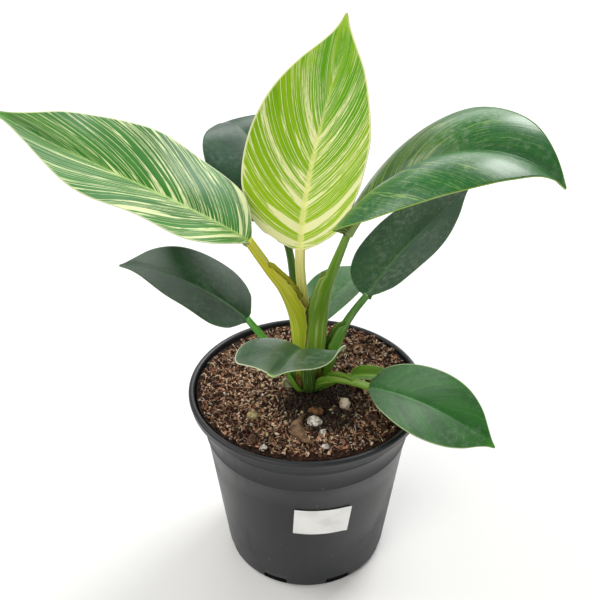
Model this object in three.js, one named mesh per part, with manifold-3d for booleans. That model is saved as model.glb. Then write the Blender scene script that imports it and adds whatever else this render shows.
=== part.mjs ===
// Potted philodendron: a young plant of ten leaves in a thin-walled nursery pot.
// Millimetres, +Z up. The origin is the centre of the pot's flat base; the front of the plant is -Y.

import * as THREE from 'three';
import { mergeVertices } from 'three/addons/utils/BufferGeometryUtils.js';
import Module from 'manifold-3d';

const wasm = await Module();
wasm.setup();

// ---------------------------------------------------------------- driving dimensions

const GAP = 0.3; // clearance between two pieces that touch

const POT_HEIGHT = 95;
const POT_RIM_RADIUS = 55; // outside of the rolled rim
const POT_BASE_RADIUS = 39.5; // outside, where the wall meets the floor
const POT_WALL = 1.4;
const POT_FLOOR = 2;
const POT_SHOULDER = 5.2; // how far the rim stands out beyond the wall below it
const POT_RIM_DEPTH = 5; // height of the rim
const POT_LIP = 2.9; // width of the rolled lip on the rim, seen from above
const POT_CORNER = 3; // rounding between floor and wall
const POT_BEAD = 0.5; // the raised line around the upper wall
const POT_BEAD_DROP = 22; // rim to raised line
const POT_SIDES = 48; // facets around the pot

const DRAIN_COUNT = 8;
const DRAIN_WIDTH = 12;
const DRAIN_TOP = 5; // height of a drain slot above the bench
const DRAIN_SILL = 1.2; // the slot starts this far above the bench
const DRAIN_DEPTH = 7; // how far a slot reaches in from the wall, through the floor's edge

const SOIL_DROP = 1.8; // rim to soil surface
const PLANT_DEPTH = 6.4; // soil surface to the level that the plant is measured from
const SOIL_FOOT = 5; // the soil's own rounding at the bottom corner

const CROWN_RADIUS = 4.2;
const CROWN_ABOVE = 9; // crown above and below the plant's level
const CROWN_BELOW = 14;
const CROWN_PLACE = [1.2, 0.6];

const BLADE_THICKNESS = 0.8;
const STALK_FACETS = 10;
const STALK_ROWS = 11;

const LABEL_WIDTH = 25.5;
const LABEL_HEIGHT = 16.5;
const LABEL_THICKNESS = 0.3;
const LABEL_MIDDLE = 51; // height of the label's middle above the bench
const LABEL_TURN = 8.6; // degrees around the pot from the front, to the right
const LABEL_TILT = 3.5; // degrees, its right end lower

const SOIL_LEVEL = POT_HEIGHT - SOIL_DROP;
const PLANT_LEVEL = SOIL_LEVEL - PLANT_DEPTH;

// ---------------------------------------------------------------- small helpers

const rad = THREE.MathUtils.degToRad;
const vec = (list) => new THREE.Vector3(...list);

// A value that runs from the first control value to the last: a Bezier curve of any order.
function glide(values, t) {
  let level = [...values];
  while (level.length > 1) {
    level = level.slice(1).map((next, i) => level[i] + (next - level[i]) * t);
  }
  return level[0];
}

// A value given at evenly spaced stations, read between them.
function along(values, t) {
  const place = Math.min(Math.max(t, 0), 1) * (values.length - 1);
  const i = Math.min(Math.floor(place), values.length - 2);
  return values[i] + (values[i + 1] - values[i]) * (place - i);
}

// Welds a geometry to position only, so that it is one closed shell.
function weld(geometry) {
  const bare = geometry.clone();
  bare.deleteAttribute('normal');
  bare.deleteAttribute('uv');
  return mergeVertices(bare, 1e-4);
}

function toSolid(geometry) {
  const shell = weld(geometry);
  return new wasm.Manifold(new wasm.Mesh({
    numProp: 3,
    vertProperties: new Float32Array(shell.attributes.position.array),
    triVerts: new Uint32Array(shell.index.array),
  }));
}

function fromSolid(solid) {
  const { vertProperties, triVerts } = solid.getMesh();
  const geometry = new THREE.BufferGeometry();
  geometry.setAttribute('position', new THREE.BufferAttribute(new Float32Array(vertProperties), 3));
  geometry.setIndex(new THREE.BufferAttribute(new Uint32Array(triVerts), 1));
  geometry.computeVertexNormals();
  return geometry;
}

// Cuts every tool from the geometry and keeps the main body.
function carve(geometry, tools) {
  if (tools.length === 0) return geometry;
  let solid = toSolid(geometry);
  for (const tool of tools) solid = solid.subtract(toSolid(tool));
  const bodies = solid.decompose().sort((a, b) => b.volume() - a.volume());
  return fromSolid(bodies[0]);
}

// Moves every vertex of a geometry by a rule that takes and returns a point.
function reshape(geometry, rule) {
  const place = geometry.attributes.position;
  const point = new THREE.Vector3();
  for (let i = 0; i < place.count; i += 1) {
    point.fromBufferAttribute(place, i);
    rule(point);
    place.setXYZ(i, point.x, point.y, point.z);
  }
  geometry.computeVertexNormals();
  return geometry;
}

// A lathe turns about Y; the pot stands along Z.
function turned(profile, sides) {
  const points = profile.map(([r, z]) => new THREE.Vector2(r, z));
  return new THREE.LatheGeometry(points, sides).rotateX(Math.PI / 2);
}

const plant = new THREE.Group();

function addPiece(name, geometry, { color, roughness, metalness = 0 }) {
  const mesh = new THREE.Mesh(geometry, new THREE.MeshStandardMaterial({ color, roughness, metalness }));
  mesh.name = name;
  plant.add(mesh);
  return mesh;
}

// ---------------------------------------------------------------- finishes

const BLACK_PLASTIC = { color: '#33363a', roughness: 0.5 };
const WHITE_PAPER = { color: '#f1f2ee', roughness: 0.8 };
const POTTING_MIX = { color: '#3d2a20', roughness: 1 };
const PERLITE = { color: '#e6e2d8', roughness: 0.9 };
const BARK = { color: '#8a5532', roughness: 0.9 };
const PEBBLE = { color: '#a79a77', roughness: 0.85 };
const DRY_LEAF = { color: '#7a5c44', roughness: 0.9 };
const GREEN_STEM = { color: '#6f8f2c', roughness: 0.5 };
const leafFinish = (color) => ({ color, roughness: 0.4 });

// ---------------------------------------------------------------- pot

const wallTopRadius = POT_RIM_RADIUS - POT_SHOULDER;
const wallTop = POT_HEIGHT - POT_RIM_DEPTH;
const lipInside = POT_RIM_RADIUS - POT_LIP;
const ledge = wallTop + POT_WALL; // inside the rim, the wall steps out to the lip on a ledge

// Outside radius of the tapered wall at a height.
function wallRadius(z) {
  return POT_BASE_RADIUS + (wallTopRadius - POT_BASE_RADIUS) * (z / wallTop);
}

function potProfile() {
  const bead = POT_HEIGHT - POT_BEAD_DROP;
  const inner = (z) => wallRadius(z) - POT_WALL;
  return [
    [0, 0],
    [POT_BASE_RADIUS - POT_CORNER, 0],
    [wallRadius(POT_CORNER * 0.3) - POT_CORNER * 0.3, POT_CORNER * 0.3],
    [wallRadius(POT_CORNER), POT_CORNER],
    [wallRadius(DRAIN_TOP + POT_WALL), DRAIN_TOP + POT_WALL],
    [wallRadius(bead - 1), bead - 1],
    [wallRadius(bead) + POT_BEAD, bead],
    [wallRadius(bead + 1), bead + 1],
    [wallTopRadius, wallTop],
    [POT_RIM_RADIUS - 0.6, wallTop],
    [POT_RIM_RADIUS, wallTop + 0.8],
    [POT_RIM_RADIUS, POT_HEIGHT - 1.5],
    [POT_RIM_RADIUS - 1.2, POT_HEIGHT],
    [lipInside + 1, POT_HEIGHT],
    [lipInside, POT_HEIGHT - 1],
    [lipInside, ledge],
    [inner(ledge), ledge],
    [inner(POT_FLOOR + POT_CORNER), POT_FLOOR + POT_CORNER],
    [inner(POT_FLOOR) - POT_CORNER, POT_FLOOR],
    [0, POT_FLOOR],
  ];
}

// A slot through the wall's foot, centred on +X before it is turned into place.
function drainCutter(index) {
  const inside = POT_BASE_RADIUS - DRAIN_DEPTH;
  const outside = POT_BASE_RADIUS + DRAIN_DEPTH;
  const cutter = new THREE.BoxGeometry(outside - inside, DRAIN_WIDTH, DRAIN_TOP - DRAIN_SILL);
  cutter.translate((outside + inside) / 2, 0, (DRAIN_TOP + DRAIN_SILL) / 2);
  return cutter.rotateZ(((index + 0.5) * 2 * Math.PI) / DRAIN_COUNT);
}

const drainCutters = Array.from({ length: DRAIN_COUNT }, (_, i) => drainCutter(i));
addPiece('pot', carve(turned(potProfile(), POT_SIDES), drainCutters), BLACK_PLASTIC);

// ---------------------------------------------------------------- label

// The label is a flat slip bent on to the tapered wall, a hair clear of it.
function labelGeometry() {
  const slip = new THREE.BoxGeometry(LABEL_WIDTH, LABEL_THICKNESS, LABEL_HEIGHT, 10, 1, 2);
  slip.rotateY(rad(LABEL_TILT));
  return reshape(slip, (point) => {
    const z = LABEL_MIDDLE + point.z;
    // the wall is faceted, so the slip stands on the facets' corners
    const radius = wallRadius(z) + GAP + LABEL_THICKNESS / 2 - point.y;
    const turn = rad(LABEL_TURN) + point.x / wallRadius(LABEL_MIDDLE);
    point.set(radius * Math.sin(turn), -radius * Math.cos(turn), z);
  });
}

addPiece('label', labelGeometry(), WHITE_PAPER);

// ---------------------------------------------------------------- soil and crown

const soilRadius = (z) => wallRadius(z) - POT_WALL - 2 * GAP;
const surfaceRadius = lipInside - 2 * GAP;

function crownGeometry(grow) {
  const radius = CROWN_RADIUS + grow;
  const low = PLANT_LEVEL - CROWN_BELOW - grow;
  const high = PLANT_LEVEL + CROWN_ABOVE + grow;
  const crown = turned([
    [0, low],
    [radius * 0.7, low + radius * 0.3],
    [radius, low + radius],
    [radius, PLANT_LEVEL],
    [radius * 0.95, high - radius * 0.6],
    [radius * 0.6, high - radius * 0.15],
    [0, high],
  ], 16);
  return crown.translate(...CROWN_PLACE, 0);
}

function soilGeometry() {
  const bottom = POT_FLOOR + GAP;
  return turned([
    [0, bottom],
    [soilRadius(bottom) - SOIL_FOOT, bottom],
    [soilRadius(bottom + SOIL_FOOT), bottom + SOIL_FOOT],
    [soilRadius(ledge), ledge + GAP],
    [surfaceRadius, ledge + GAP],
    [surfaceRadius, SOIL_LEVEL],
    [0, SOIL_LEVEL],
  ], POT_SIDES);
}

addPiece('crown', crownGeometry(0), GREEN_STEM);

// ---------------------------------------------------------------- leaves

// Half width of every blade as a share of its widest place, from base to tip.
const BLADE_OUTLINE = [
  [0, 0.07], [0.015, 0.2], [0.04, 0.38], [0.09, 0.65], [0.17, 0.84], [0.27, 0.96], [0.42, 1],
  [0.56, 0.94], [0.68, 0.8], [0.79, 0.57], [0.887, 0.275], [0.95, 0.105], [1, 0.02],
];
const BLADE_COLUMNS = 6;
const MIDRIB_STEPS = 60;

// Ten leaves, from the youngest at the middle outwards. Heights are measured from the plant's level.
// base: where the blade joins its stalk. yaw: heading from straight back (0) to the right (90).
// pitch: climb above level. roll: lean to the right. Each runs from blade base to tip, in degrees.
// fold: how far each half is raised at the midrib. curl: how much more it is raised at the margin.
// path: the stalk's middle line, up to the blade. across and deep: its half sizes along that line.
const LEAVES = [
  {
    name: 'centre', color: '#86b52a', base: [-3.1, 1.6, 78.2], length: 102, half: 30.3,
    yaw: [6, 43], pitch: [58, 37, 82], roll: [16, 2], fold: 8, curl: 27, fullerRight: 1.1,
    path: [[1, 1.2, 6], [0.8, 1.2, 25], [-0.2, 1.2, 43], [-2, 1.2, 58], [-3, 1.3, 69]],
    across: [2, 2, 2.1, 2.2, 2.2, 2.2], deep: [2, 2, 2.1, 2.2, 2.1, 1.8],
  },
  {
    name: 'right_arched', color: '#2f7a3d', base: [15.8, -11.4, 92.7], length: 101.6, half: 32.4,
    yaw: [104, 105], pitch: [67, 37, -47], roll: [9, -24], fold: 33, curl: -68,
    path: [[2.2, 0, 6], [3, -0.3, 18], [4, -0.8, 31], [5, -2.2, 46], [7, -5, 61], [10.9, -8, 76]],
    across: [3, 3.8, 4.2, 3.9, 3.2, 2.5, 2.1], deep: [3.2, 4.2, 4.9, 4.7, 3.8, 2.6, 1.8],
  },
  {
    name: 'left_striped', color: '#3f7a3e', base: [-23.6, -6.8, 86.6], length: 112, half: 30.2,
    yaw: [-80, -91], pitch: [31, 18, 36], roll: [2, 15], fold: 20, curl: -14,
    path: [[-0.8, 0.5, 6], [-1.6, 0.5, 19], [-2.4, 0.4, 32], [-4, -1.2, 47], [-9, -2.8, 61],
      [-15.7, -4.6, 72]],
    across: [3, 3.9, 4.2, 3.8, 3, 2.5, 2.4], deep: [3.2, 4, 4.3, 4.6, 3.8, 2.7, 2.2],
  },
  {
    name: 'front', color: '#3f6b4c', base: [-0.5, -16.8, 38.2], length: 67.2, half: 23.8,
    yaw: [194, 190], pitch: [49, -2, 36], roll: [-3, -14], fold: 29, curl: -50,
    path: [[1.2, -2.6, 6], [1, -7.2, 13], [0.1, -11.5, 24.4], [-0.3, -14.6, 32.4]],
    across: [3, 3, 2.8, 2.3, 2], deep: [2.4, 2.5, 2.4, 2, 1.8],
  },
  {
    name: 'right_low', color: '#2f6a34', base: [26.9, -18.4, 20.4], length: 61.5, half: 20.3,
    yaw: [103, 116], pitch: [-3, -19, -31], roll: [-1, -21], fold: 7, curl: 0,
    path: [[3, -1.5, 6], [5.6, -6, 12.5], [9, -10.5, 18.5], [13.4, -13.8, 21.6], [19.4, -16.5, 22]],
    across: [2.4, 2.8, 2.8, 2.6, 2, 1.8], deep: [2.2, 2.4, 2.6, 2.3, 1.8, 1.6],
  },
  {
    name: 'right_dark', color: '#2a4b38', base: [26.3, 4, 53.5], length: 72.3, half: 20.4,
    yaw: [37, 75], pitch: [30, 24, 48], roll: [15, -5], fold: 8, curl: 9,
    path: [[4, 1.2, 6], [9.4, 0.8, 17], [12.6, 0.8, 27.5], [16.4, 2, 38], [20.7, 3.3, 45.5]],
    across: [2.2, 2.6, 2.7, 2.1, 1.8, 1.7], deep: [2.1, 2.4, 2.6, 2.1, 1.8, 1.6],
  },
  {
    name: 'left_dark', color: '#1f3f24', base: [-26.3, 1.5, 42.7], length: 62.5, half: 20.5,
    yaw: [-75, -108], pitch: [39, 32, 13], roll: [5, 12], fold: 10, curl: -6,
    path: [[-1.4, -1.2, 6], [-4, -5, 10.5], [-8, -4.6, 18.5], [-13.4, -2.4, 26], [-19.8, 0.3, 33.8]],
    across: [2.2, 2.4, 2.3, 1.9, 1.7, 1.6], deep: [2.1, 2.3, 2.2, 1.9, 1.7, 1.5],
  },
  {
    name: 'back_dark', color: '#24492f', base: [-11.5, 20.2, 79.6], length: 77.5, half: 25.3,
    yaw: [-22, -31], pitch: [62, 30, -26], roll: [4, 5], fold: 8, curl: -11,
    path: [[-0.6, 3.4, 6], [-2, 7, 21], [-4.2, 9.6, 39], [-6, 12, 57], [-7.9, 15.6, 70]],
    across: [2, 2.1, 2, 1.8, 1.7, 1.7], deep: [2, 2.1, 2, 1.8, 1.7, 1.6],
  },
  {
    name: 'back_small', color: '#4d7a5a', base: [2.5, 15.5, 30.6], length: 44, half: 16.5,
    yaw: [56, 31], pitch: [48, 18, 3], roll: [11, 14], fold: 12, curl: 10,
    path: [[1.8, 3.6, 6], [2.4, 8.8, 15], [2.5, 12.6, 23]],
    across: [1.9, 2, 1.8, 1.6], deep: [1.9, 1.9, 1.7, 1.5],
  },
  {
    name: 'right_tiny', color: '#6fa32c', base: [19.9, -3, 14.6], length: 22, half: 5,
    yaw: [84, 96], pitch: [6, -4, -18], roll: [-6, -10], fold: 14, curl: 8,
    path: [[3.6, -1.2, 5], [8.4, -3.4, 9.8], [14, -3.8, 13]],
    across: [1.6, 1.8, 1.6, 1.3], deep: [1.6, 1.7, 1.5, 1.2],
  },
];

// Heading, sideways and upper-side directions of a blade at a place along its midrib.
function bladeFrame(leaf, t) {
  const yaw = rad(glide(leaf.yaw, t));
  const pitch = rad(glide(leaf.pitch, t));
  const roll = rad(glide(leaf.roll, t));
  const level = Math.cos(pitch);
  const ahead = new THREE.Vector3(level * Math.sin(yaw), level * Math.cos(yaw), Math.sin(pitch));
  const flatSide = new THREE.Vector3(Math.cos(yaw), -Math.sin(yaw), 0);
  const flatUp = new THREE.Vector3().crossVectors(flatSide, ahead);
  const side = flatSide.clone().multiplyScalar(Math.cos(roll)).addScaledVector(flatUp, Math.sin(roll));
  const up = flatUp.multiplyScalar(Math.cos(roll)).addScaledVector(flatSide, -Math.sin(roll));
  return { ahead, side, up };
}

const bladeBase = (leaf) => vec(leaf.base).add(new THREE.Vector3(0, 0, PLANT_LEVEL));

// The midrib, walked in short steps from the blade's base.
function midrib(leaf) {
  const points = [bladeBase(leaf)];
  const step = leaf.length / MIDRIB_STEPS;
  for (let i = 0; i < MIDRIB_STEPS; i += 1) {
    const { ahead } = bladeFrame(leaf, (i + 0.5) / MIDRIB_STEPS);
    points.push(points[i].clone().addScaledVector(ahead, step));
  }
  return (t) => {
    const place = Math.min(t * MIDRIB_STEPS, MIDRIB_STEPS - 1e-6);
    const i = Math.floor(place);
    return points[i].clone().lerp(points[i + 1], place - i);
  };
}

// Where the surface of a blade half lies at a distance from the midrib: out to the side, and up.
// The half leaves the midrib at the fold angle and bends evenly by the curl angle to the margin.
function halfSection(leaf, distance) {
  const fold = rad(leaf.fold);
  const bend = rad(leaf.curl) / leaf.half;
  if (Math.abs(bend) < 1e-6) {
    return { out: distance * Math.cos(fold), rise: distance * Math.sin(fold), lean: fold };
  }
  const lean = fold + bend * distance;
  return {
    out: (Math.sin(lean) - Math.sin(fold)) / bend,
    rise: (Math.cos(fold) - Math.cos(lean)) / bend,
    lean,
  };
}

// A thin slab bent to the blade's surface: X runs across, Y through the thickness, Z base to tip.
function bladeGeometry(leaf) {
  const rows = BLADE_OUTLINE.length - 1;
  const slab = new THREE.BoxGeometry(2, 1, 1, BLADE_COLUMNS, 1, rows);
  const spine = midrib(leaf);
  return reshape(slab, (point) => {
    const [t, share] = BLADE_OUTLINE[Math.round((point.z + 0.5) * rows)];
    const toRight = -Math.sign(point.x);
    const fuller = toRight > 0 ? leaf.fullerRight ?? 1 : 1;
    const { out, rise, lean } = halfSection(leaf, Math.abs(point.x) * share * leaf.half * fuller);
    const { side, up } = bladeFrame(leaf, t);
    const thick = point.y * BLADE_THICKNESS;
    point.copy(spine(t))
      .addScaledVector(side, toRight * (out - thick * Math.sin(lean)))
      .addScaledVector(up, rise + thick * Math.cos(lean));
  });
}

// A stalk: a rod whose section is an oval that changes along its path and sheathes the crown.
function stalkGeometry(leaf, grow) {
  const joint = bladeBase(leaf);
  const { ahead, up } = bladeFrame(leaf, 0);
  const top = joint.clone().addScaledVector(ahead, -2 * GAP);
  const points = leaf.path.map(([x, y, z]) => new THREE.Vector3(x, y, z + PLANT_LEVEL));
  const line = new THREE.CatmullRomCurve3([...points, top], false, 'centripetal');
  const rod = new THREE.CylinderGeometry(1, 1, 1, STALK_FACETS, STALK_ROWS);
  return reshape(rod, (point) => {
    const t = point.y + 0.5;
    const tangent = line.getTangent(t);
    const inner = up.clone().addScaledVector(tangent, -up.dot(tangent)).normalize();
    const across = new THREE.Vector3().crossVectors(tangent, inner);
    const x = point.x * (along(leaf.across, t) + grow);
    const y = point.z * (along(leaf.deep, t) + grow);
    point.copy(line.getPoint(t))
      .addScaledVector(tangent, grow * Math.sign(t - 0.5) * (t === 0 || t === 1 ? 1 : 0))
      .addScaledVector(across, x)
      .addScaledVector(inner, y);
  });
}

// Stalks nest around the crown, each fitted round the ones nearer the middle.
const settled = [crownGeometry(GAP)];
for (const leaf of LEAVES) {
  const fitted = carve(stalkGeometry(leaf, 0), settled);
  const jacket = stalkGeometry(leaf, GAP);
  addPiece(`stalk_${leaf.name}`, fitted, GREEN_STEM);
  addPiece(`blade_${leaf.name}`, carve(bladeGeometry(leaf), [jacket]), leafFinish(leaf.color));
  settled.push(jacket);
}

addPiece('soil', carve(soilGeometry(), settled), POTTING_MIX);

// ---------------------------------------------------------------- dry bracts and fallen leaf

// A thin dry scale that lies against something: an oval slab bent about its long axis.
function scaleGeometry({ length, width, thickness, cup }) {
  const slab = new THREE.BoxGeometry(1, 1, 1, 4, 1, 8);
  return reshape(slab, (point) => {
    const t = point.z + 0.5;
    const half = (width / 2) * Math.sqrt(Math.max(0.02, Math.sin(Math.PI * Math.min(t * 0.92 + 0.04, 1))));
    const turn = point.x * 2 * rad(cup);
    const radius = half / rad(cup);
    const reach = radius - point.y * thickness;
    point.set(Math.sin(turn) * reach, radius - Math.cos(turn) * reach, t * length);
  });
}

const BRACTS = [
  { name: 'bract_right', place: [5.4, -5, 11], length: 13, width: 4.4, lean: 6, turn: 28 },
  { name: 'bract_left', place: [-3.8, -6.4, 9.4], length: 13, width: 4, lean: 6, turn: -20 },
];

for (const { name, place, length, width, lean, turn } of BRACTS) {
  const scale = scaleGeometry({ length, width, thickness: 0.5, cup: 30 });
  scale.rotateX(rad(lean)).rotateZ(rad(turn));
  scale.translate(place[0], place[1], place[2] + PLANT_LEVEL);
  addPiece(name, carve(scale, settled), DRY_LEAF);
}

const FALLEN_LEAF = {
  place: [-0.02, -0.41], length: 23.5, width: 7, thickness: 0.6, cup: 46, bow: 6, drift: 4.4, arch: 1.2,
};

// Laid down from the crown towards the front, arched over its edges and bowed to the left.
// Its place is a share of the soil's radius.
function fallenLeafGeometry() {
  const { place, length, bow, drift, arch } = FALLEN_LEAF;
  const dry = reshape(scaleGeometry(FALLEN_LEAF), (point) => {
    const t = point.z / length;
    const swell = Math.sin(Math.PI * t);
    point.set(-point.x - bow * swell + drift * t, -point.z, -point.y + arch * swell);
  });
  dry.computeBoundingBox();
  const lift = SOIL_LEVEL + GAP - dry.boundingBox.min.z;
  return dry.translate(place[0] * surfaceRadius, place[1] * surfaceRadius, lift);
}

addPiece('fallen_leaf', fallenLeafGeometry(), DRY_LEAF);

// ---------------------------------------------------------------- pieces of the potting mix

// A rough lump: a small faceted ball, squeezed to its size and dented by smooth waves.
function lumpGeometry([sizeX, sizeY, sizeZ], phase) {
  const ball = weld(new THREE.IcosahedronGeometry(1, 1));
  return reshape(ball, (point) => {
    const dent = 1 + 0.13 * Math.sin(3.1 * point.x + phase) * Math.sin(2.7 * point.y + 2 * phase)
      + 0.08 * Math.sin(4.3 * point.z + 3 * phase);
    point.multiplyScalar(dent / 1.21);
    point.set((point.x * sizeX) / 2, (point.y * sizeY) / 2, (point.z * sizeZ) / 2);
  });
}

// place: on the soil surface, as a share of its radius. fromCrown: for a piece beside the stalks, which
// keeps its distance to them, in mm from the crown's middle. size: across, front to back, high.
// turn: degrees.
const MIX_PIECES = [
  { name: 'perlite_large', kind: PERLITE, place: [0.065, -0.54], size: [8.4, 6.6, 5], turn: 20 },
  { name: 'perlite_front', kind: PERLITE, place: [0.135, -0.665], size: [4.2, 3.6, 3.2], turn: 70 },
  { name: 'perlite_rim', kind: PERLITE, place: [0.15, -0.86], size: [3.6, 3, 2.6], turn: 10 },
  { name: 'perlite_left', kind: PERLITE, place: [-0.36, -0.87], size: [4.4, 3.4, 3], turn: 130 },
  { name: 'pebble_tan', kind: PEBBLE, place: [0.33, -0.28], size: [6, 8.6, 5.2], turn: 12 },
  { name: 'pebble_yellow', kind: PEBBLE, place: [-0.47, -0.45], size: [6.2, 4.6, 4], turn: 155 },
  { name: 'stone_grey', kind: PEBBLE, fromCrown: [-9.955, -0.6], size: [8.4, 6.4, 5], turn: 35 },
  { name: 'bark_orange', kind: BARK, place: [0.08, -0.37], size: [9, 5.4, 4.2], turn: 28 },
  { name: 'bark_left', kind: BARK, place: [-0.46, -0.74], size: [8, 3.6, 2.8], turn: 118 },
  { name: 'bark_right', kind: BARK, place: [0.56, -0.47], size: [8.6, 4, 3], turn: -35 },
];

function mixPlace({ place, fromCrown }) {
  if (fromCrown) return fromCrown.map((distance, axis) => CROWN_PLACE[axis] + distance);
  return place.map((share) => share * surfaceRadius);
}

MIX_PIECES.forEach((piece, index) => {
  const { name, kind, size, turn } = piece;
  const lump = lumpGeometry(size, index + 1).rotateZ(rad(turn));
  lump.computeBoundingBox();
  const lift = SOIL_LEVEL + GAP - lump.boundingBox.min.z;
  lump.translate(...mixPlace(piece), lift);
  addPiece(name, lump, kind);
});

export default plant;
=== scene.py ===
# %% [markdown]
# # A potted philodendron
# A young house plant in a thin nursery pot, made piece by piece around its CAD frame. The frame gives
# the places and the outer sizes. This lesson gives every piece the surface that a grower would know:
# veins that sweep from midrib to margin, fleshy stalks with a sheath at the foot, and loose potting mix.

# %% Open the frame
import math
import random

import bmesh
import bpy
from mathutils import Matrix, Vector, noise


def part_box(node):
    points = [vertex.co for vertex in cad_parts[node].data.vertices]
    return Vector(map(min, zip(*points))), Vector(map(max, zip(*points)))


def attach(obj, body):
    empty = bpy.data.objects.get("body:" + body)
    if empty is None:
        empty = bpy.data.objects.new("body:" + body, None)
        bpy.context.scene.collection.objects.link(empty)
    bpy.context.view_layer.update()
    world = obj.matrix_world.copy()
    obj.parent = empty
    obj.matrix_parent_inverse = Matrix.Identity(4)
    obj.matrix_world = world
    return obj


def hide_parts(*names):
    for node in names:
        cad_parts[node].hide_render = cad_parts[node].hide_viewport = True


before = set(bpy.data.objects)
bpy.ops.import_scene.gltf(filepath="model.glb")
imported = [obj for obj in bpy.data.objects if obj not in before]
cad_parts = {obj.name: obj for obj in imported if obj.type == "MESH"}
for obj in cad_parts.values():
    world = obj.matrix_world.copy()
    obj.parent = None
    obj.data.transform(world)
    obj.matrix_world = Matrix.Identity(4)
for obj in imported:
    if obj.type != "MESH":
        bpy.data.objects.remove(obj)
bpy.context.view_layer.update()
MM = 0.001
SOIL_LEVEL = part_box("soil")[1].z / MM
PLANT_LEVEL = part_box("crown")[0].z / MM + 14  # the crown reaches 14 mm below the plant's level
print("soil surface at", round(SOIL_LEVEL, 1), "mm, plant level", round(PLANT_LEVEL, 1), "mm")
print("CAD pieces:", len(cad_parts))

# %% [markdown]
# ## Small tools
# Colours are written as the sRGB hex values that a paint chart gives, and one function turns them into
# the linear values that a shader wants. One more function adds a shader node with its settings and
# links, so every material below reads as a list of what feeds what.

# %% Colour and node helpers


def linear(hex_colour):
    """An sRGB hex colour as linear red, green, blue and alpha."""
    values = [int(hex_colour[i:i + 2], 16) / 255 for i in (1, 3, 5)]
    return tuple(v / 12.92 if v <= 0.04045 else ((v + 0.055) / 1.055) ** 2.4 for v in values) + (1.0,)


def add_node(tree, kind, sockets=None, **settings):
    """Adds a node. A socket's value is a number, a colour, or another node's output to link from."""
    made = tree.nodes.new(kind)
    for name, value in settings.items():
        setattr(made, name, value)
    for name, value in (sockets or {}).items():
        if isinstance(value, bpy.types.NodeSocket):
            tree.links.new(value, made.inputs[name])
        else:
            made.inputs[name].default_value = value
    return made


SHADER_SOCKETS = {
    "base_color": "Base Color", "roughness": "Roughness", "ior": "IOR", "coat_weight": "Coat Weight",
    "coat_roughness": "Coat Roughness",
}


def new_material(name, **shader_values):
    """A material with its node tree and main shader; the shader's constant values are set directly."""
    material = bpy.data.materials.new(name)
    material.use_nodes = True
    shader = material.node_tree.nodes["Principled BSDF"]
    for socket, value in shader_values.items():
        shader.inputs[SHADER_SOCKETS[socket]].default_value = value
    return material, material.node_tree, shader


def map_to(tree, value, low, high, out_low=0.0, out_high=1.0):
    """A value brought from one range to another, eased and kept inside it."""
    sockets = {"Value": value, "From Min": low, "From Max": high, "To Min": out_low, "To Max": out_high}
    return add_node(tree, "ShaderNodeMapRange", sockets, interpolation_type="SMOOTHSTEP").outputs[0]


def blend_colours(tree, share, first, second):
    """Two colours mixed by a share."""
    mixer = add_node(tree, "ShaderNodeMix", data_type="RGBA")
    for index, value in ((0, share), (6, first), (7, second)):
        if isinstance(value, bpy.types.NodeSocket):
            tree.links.new(value, mixer.inputs[index])
        else:
            mixer.inputs[index].default_value = value
    return mixer.outputs[2]


def maths(tree, operation, first, second=0.0):
    """One sum on two values."""
    return add_node(tree, "ShaderNodeMath", {0: first, 1: second}, operation=operation).outputs[0]


def grain(tree, place, scale, detail=2.0, roughness=0.5, dimensions="3D"):
    """Soft random variation read at a place."""
    sockets = {"Vector": place, "Scale": scale, "Detail": detail, "Roughness": roughness}
    return add_node(tree, "ShaderNodeTexNoise", sockets, noise_dimensions=dimensions).outputs[0]


print("helpers ready")

# %% Mesh helpers


def finish_mesh(name, mesh_data, material, node_names, smooth=True):
    """Turns a bmesh into a piece that rides on the body and stands for its CAD nodes."""
    mesh = bpy.data.meshes.new(name)
    mesh_data.to_mesh(mesh)
    mesh_data.free()
    piece = bpy.data.objects.new(name, mesh)
    bpy.context.scene.collection.objects.link(piece)
    for one in material if isinstance(material, (list, tuple)) else [material]:
        mesh.materials.append(one)
    mesh.polygons.foreach_set("use_smooth", [smooth] * len(mesh.polygons))
    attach(piece, "root")
    for node_name in node_names:
        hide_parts(node_name)
    return piece


def apply_modifiers(piece):
    """Makes a piece's modifiers part of its mesh."""
    view = bpy.context.evaluated_depsgraph_get()
    view.update()
    solid = bpy.data.meshes.new_from_object(piece.evaluated_get(view))
    piece.modifiers.clear()
    piece.data = solid


def spin_profile(profile, steps):
    """A closed turned shape: the profile of (radius, height) points in mm is spun about Z."""
    turned = bmesh.new()
    points = [turned.verts.new((radius * MM, 0, height * MM)) for radius, height in profile]
    edges = [turned.edges.new(pair) for pair in zip(points, points[1:])]
    bmesh.ops.spin(turned, geom=points + edges, axis=(0, 0, 1), cent=(0, 0, 0), angle=math.tau,
                   steps=steps, use_merge=True, use_duplicate=False)
    bmesh.ops.remove_doubles(turned, verts=turned.verts, dist=0.01 * MM)
    bmesh.ops.recalc_face_normals(turned, faces=turned.faces)
    return turned


def between(stations, place):
    """A value read from (place, value) stations, straight between them."""
    for (low, first), (high, second) in zip(stations, stations[1:]):
        if place <= high:
            return first + (second - first) * max(0.0, place - low) / (high - low)
    return stations[-1][1]


def catmull(values, share):
    """A smooth curve through evenly spaced values, which may be numbers or vectors."""
    place = min(max(share, 0.0), 1.0) * (len(values) - 1)
    i = min(int(place), len(values) - 2)
    f = place - i
    a, b = values[i], values[i + 1]
    before = values[i - 1] if i else a + (a - b)
    after = values[i + 2] if i + 2 < len(values) else b + (b - a)
    square = before * 2 - a * 5 + b * 4 - after
    return (a * 2 + (b - before) * f + square * (f * f) + (a * 3 - before - b * 3 + after) * f ** 3) * 0.5


print("mesh helpers ready")

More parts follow.
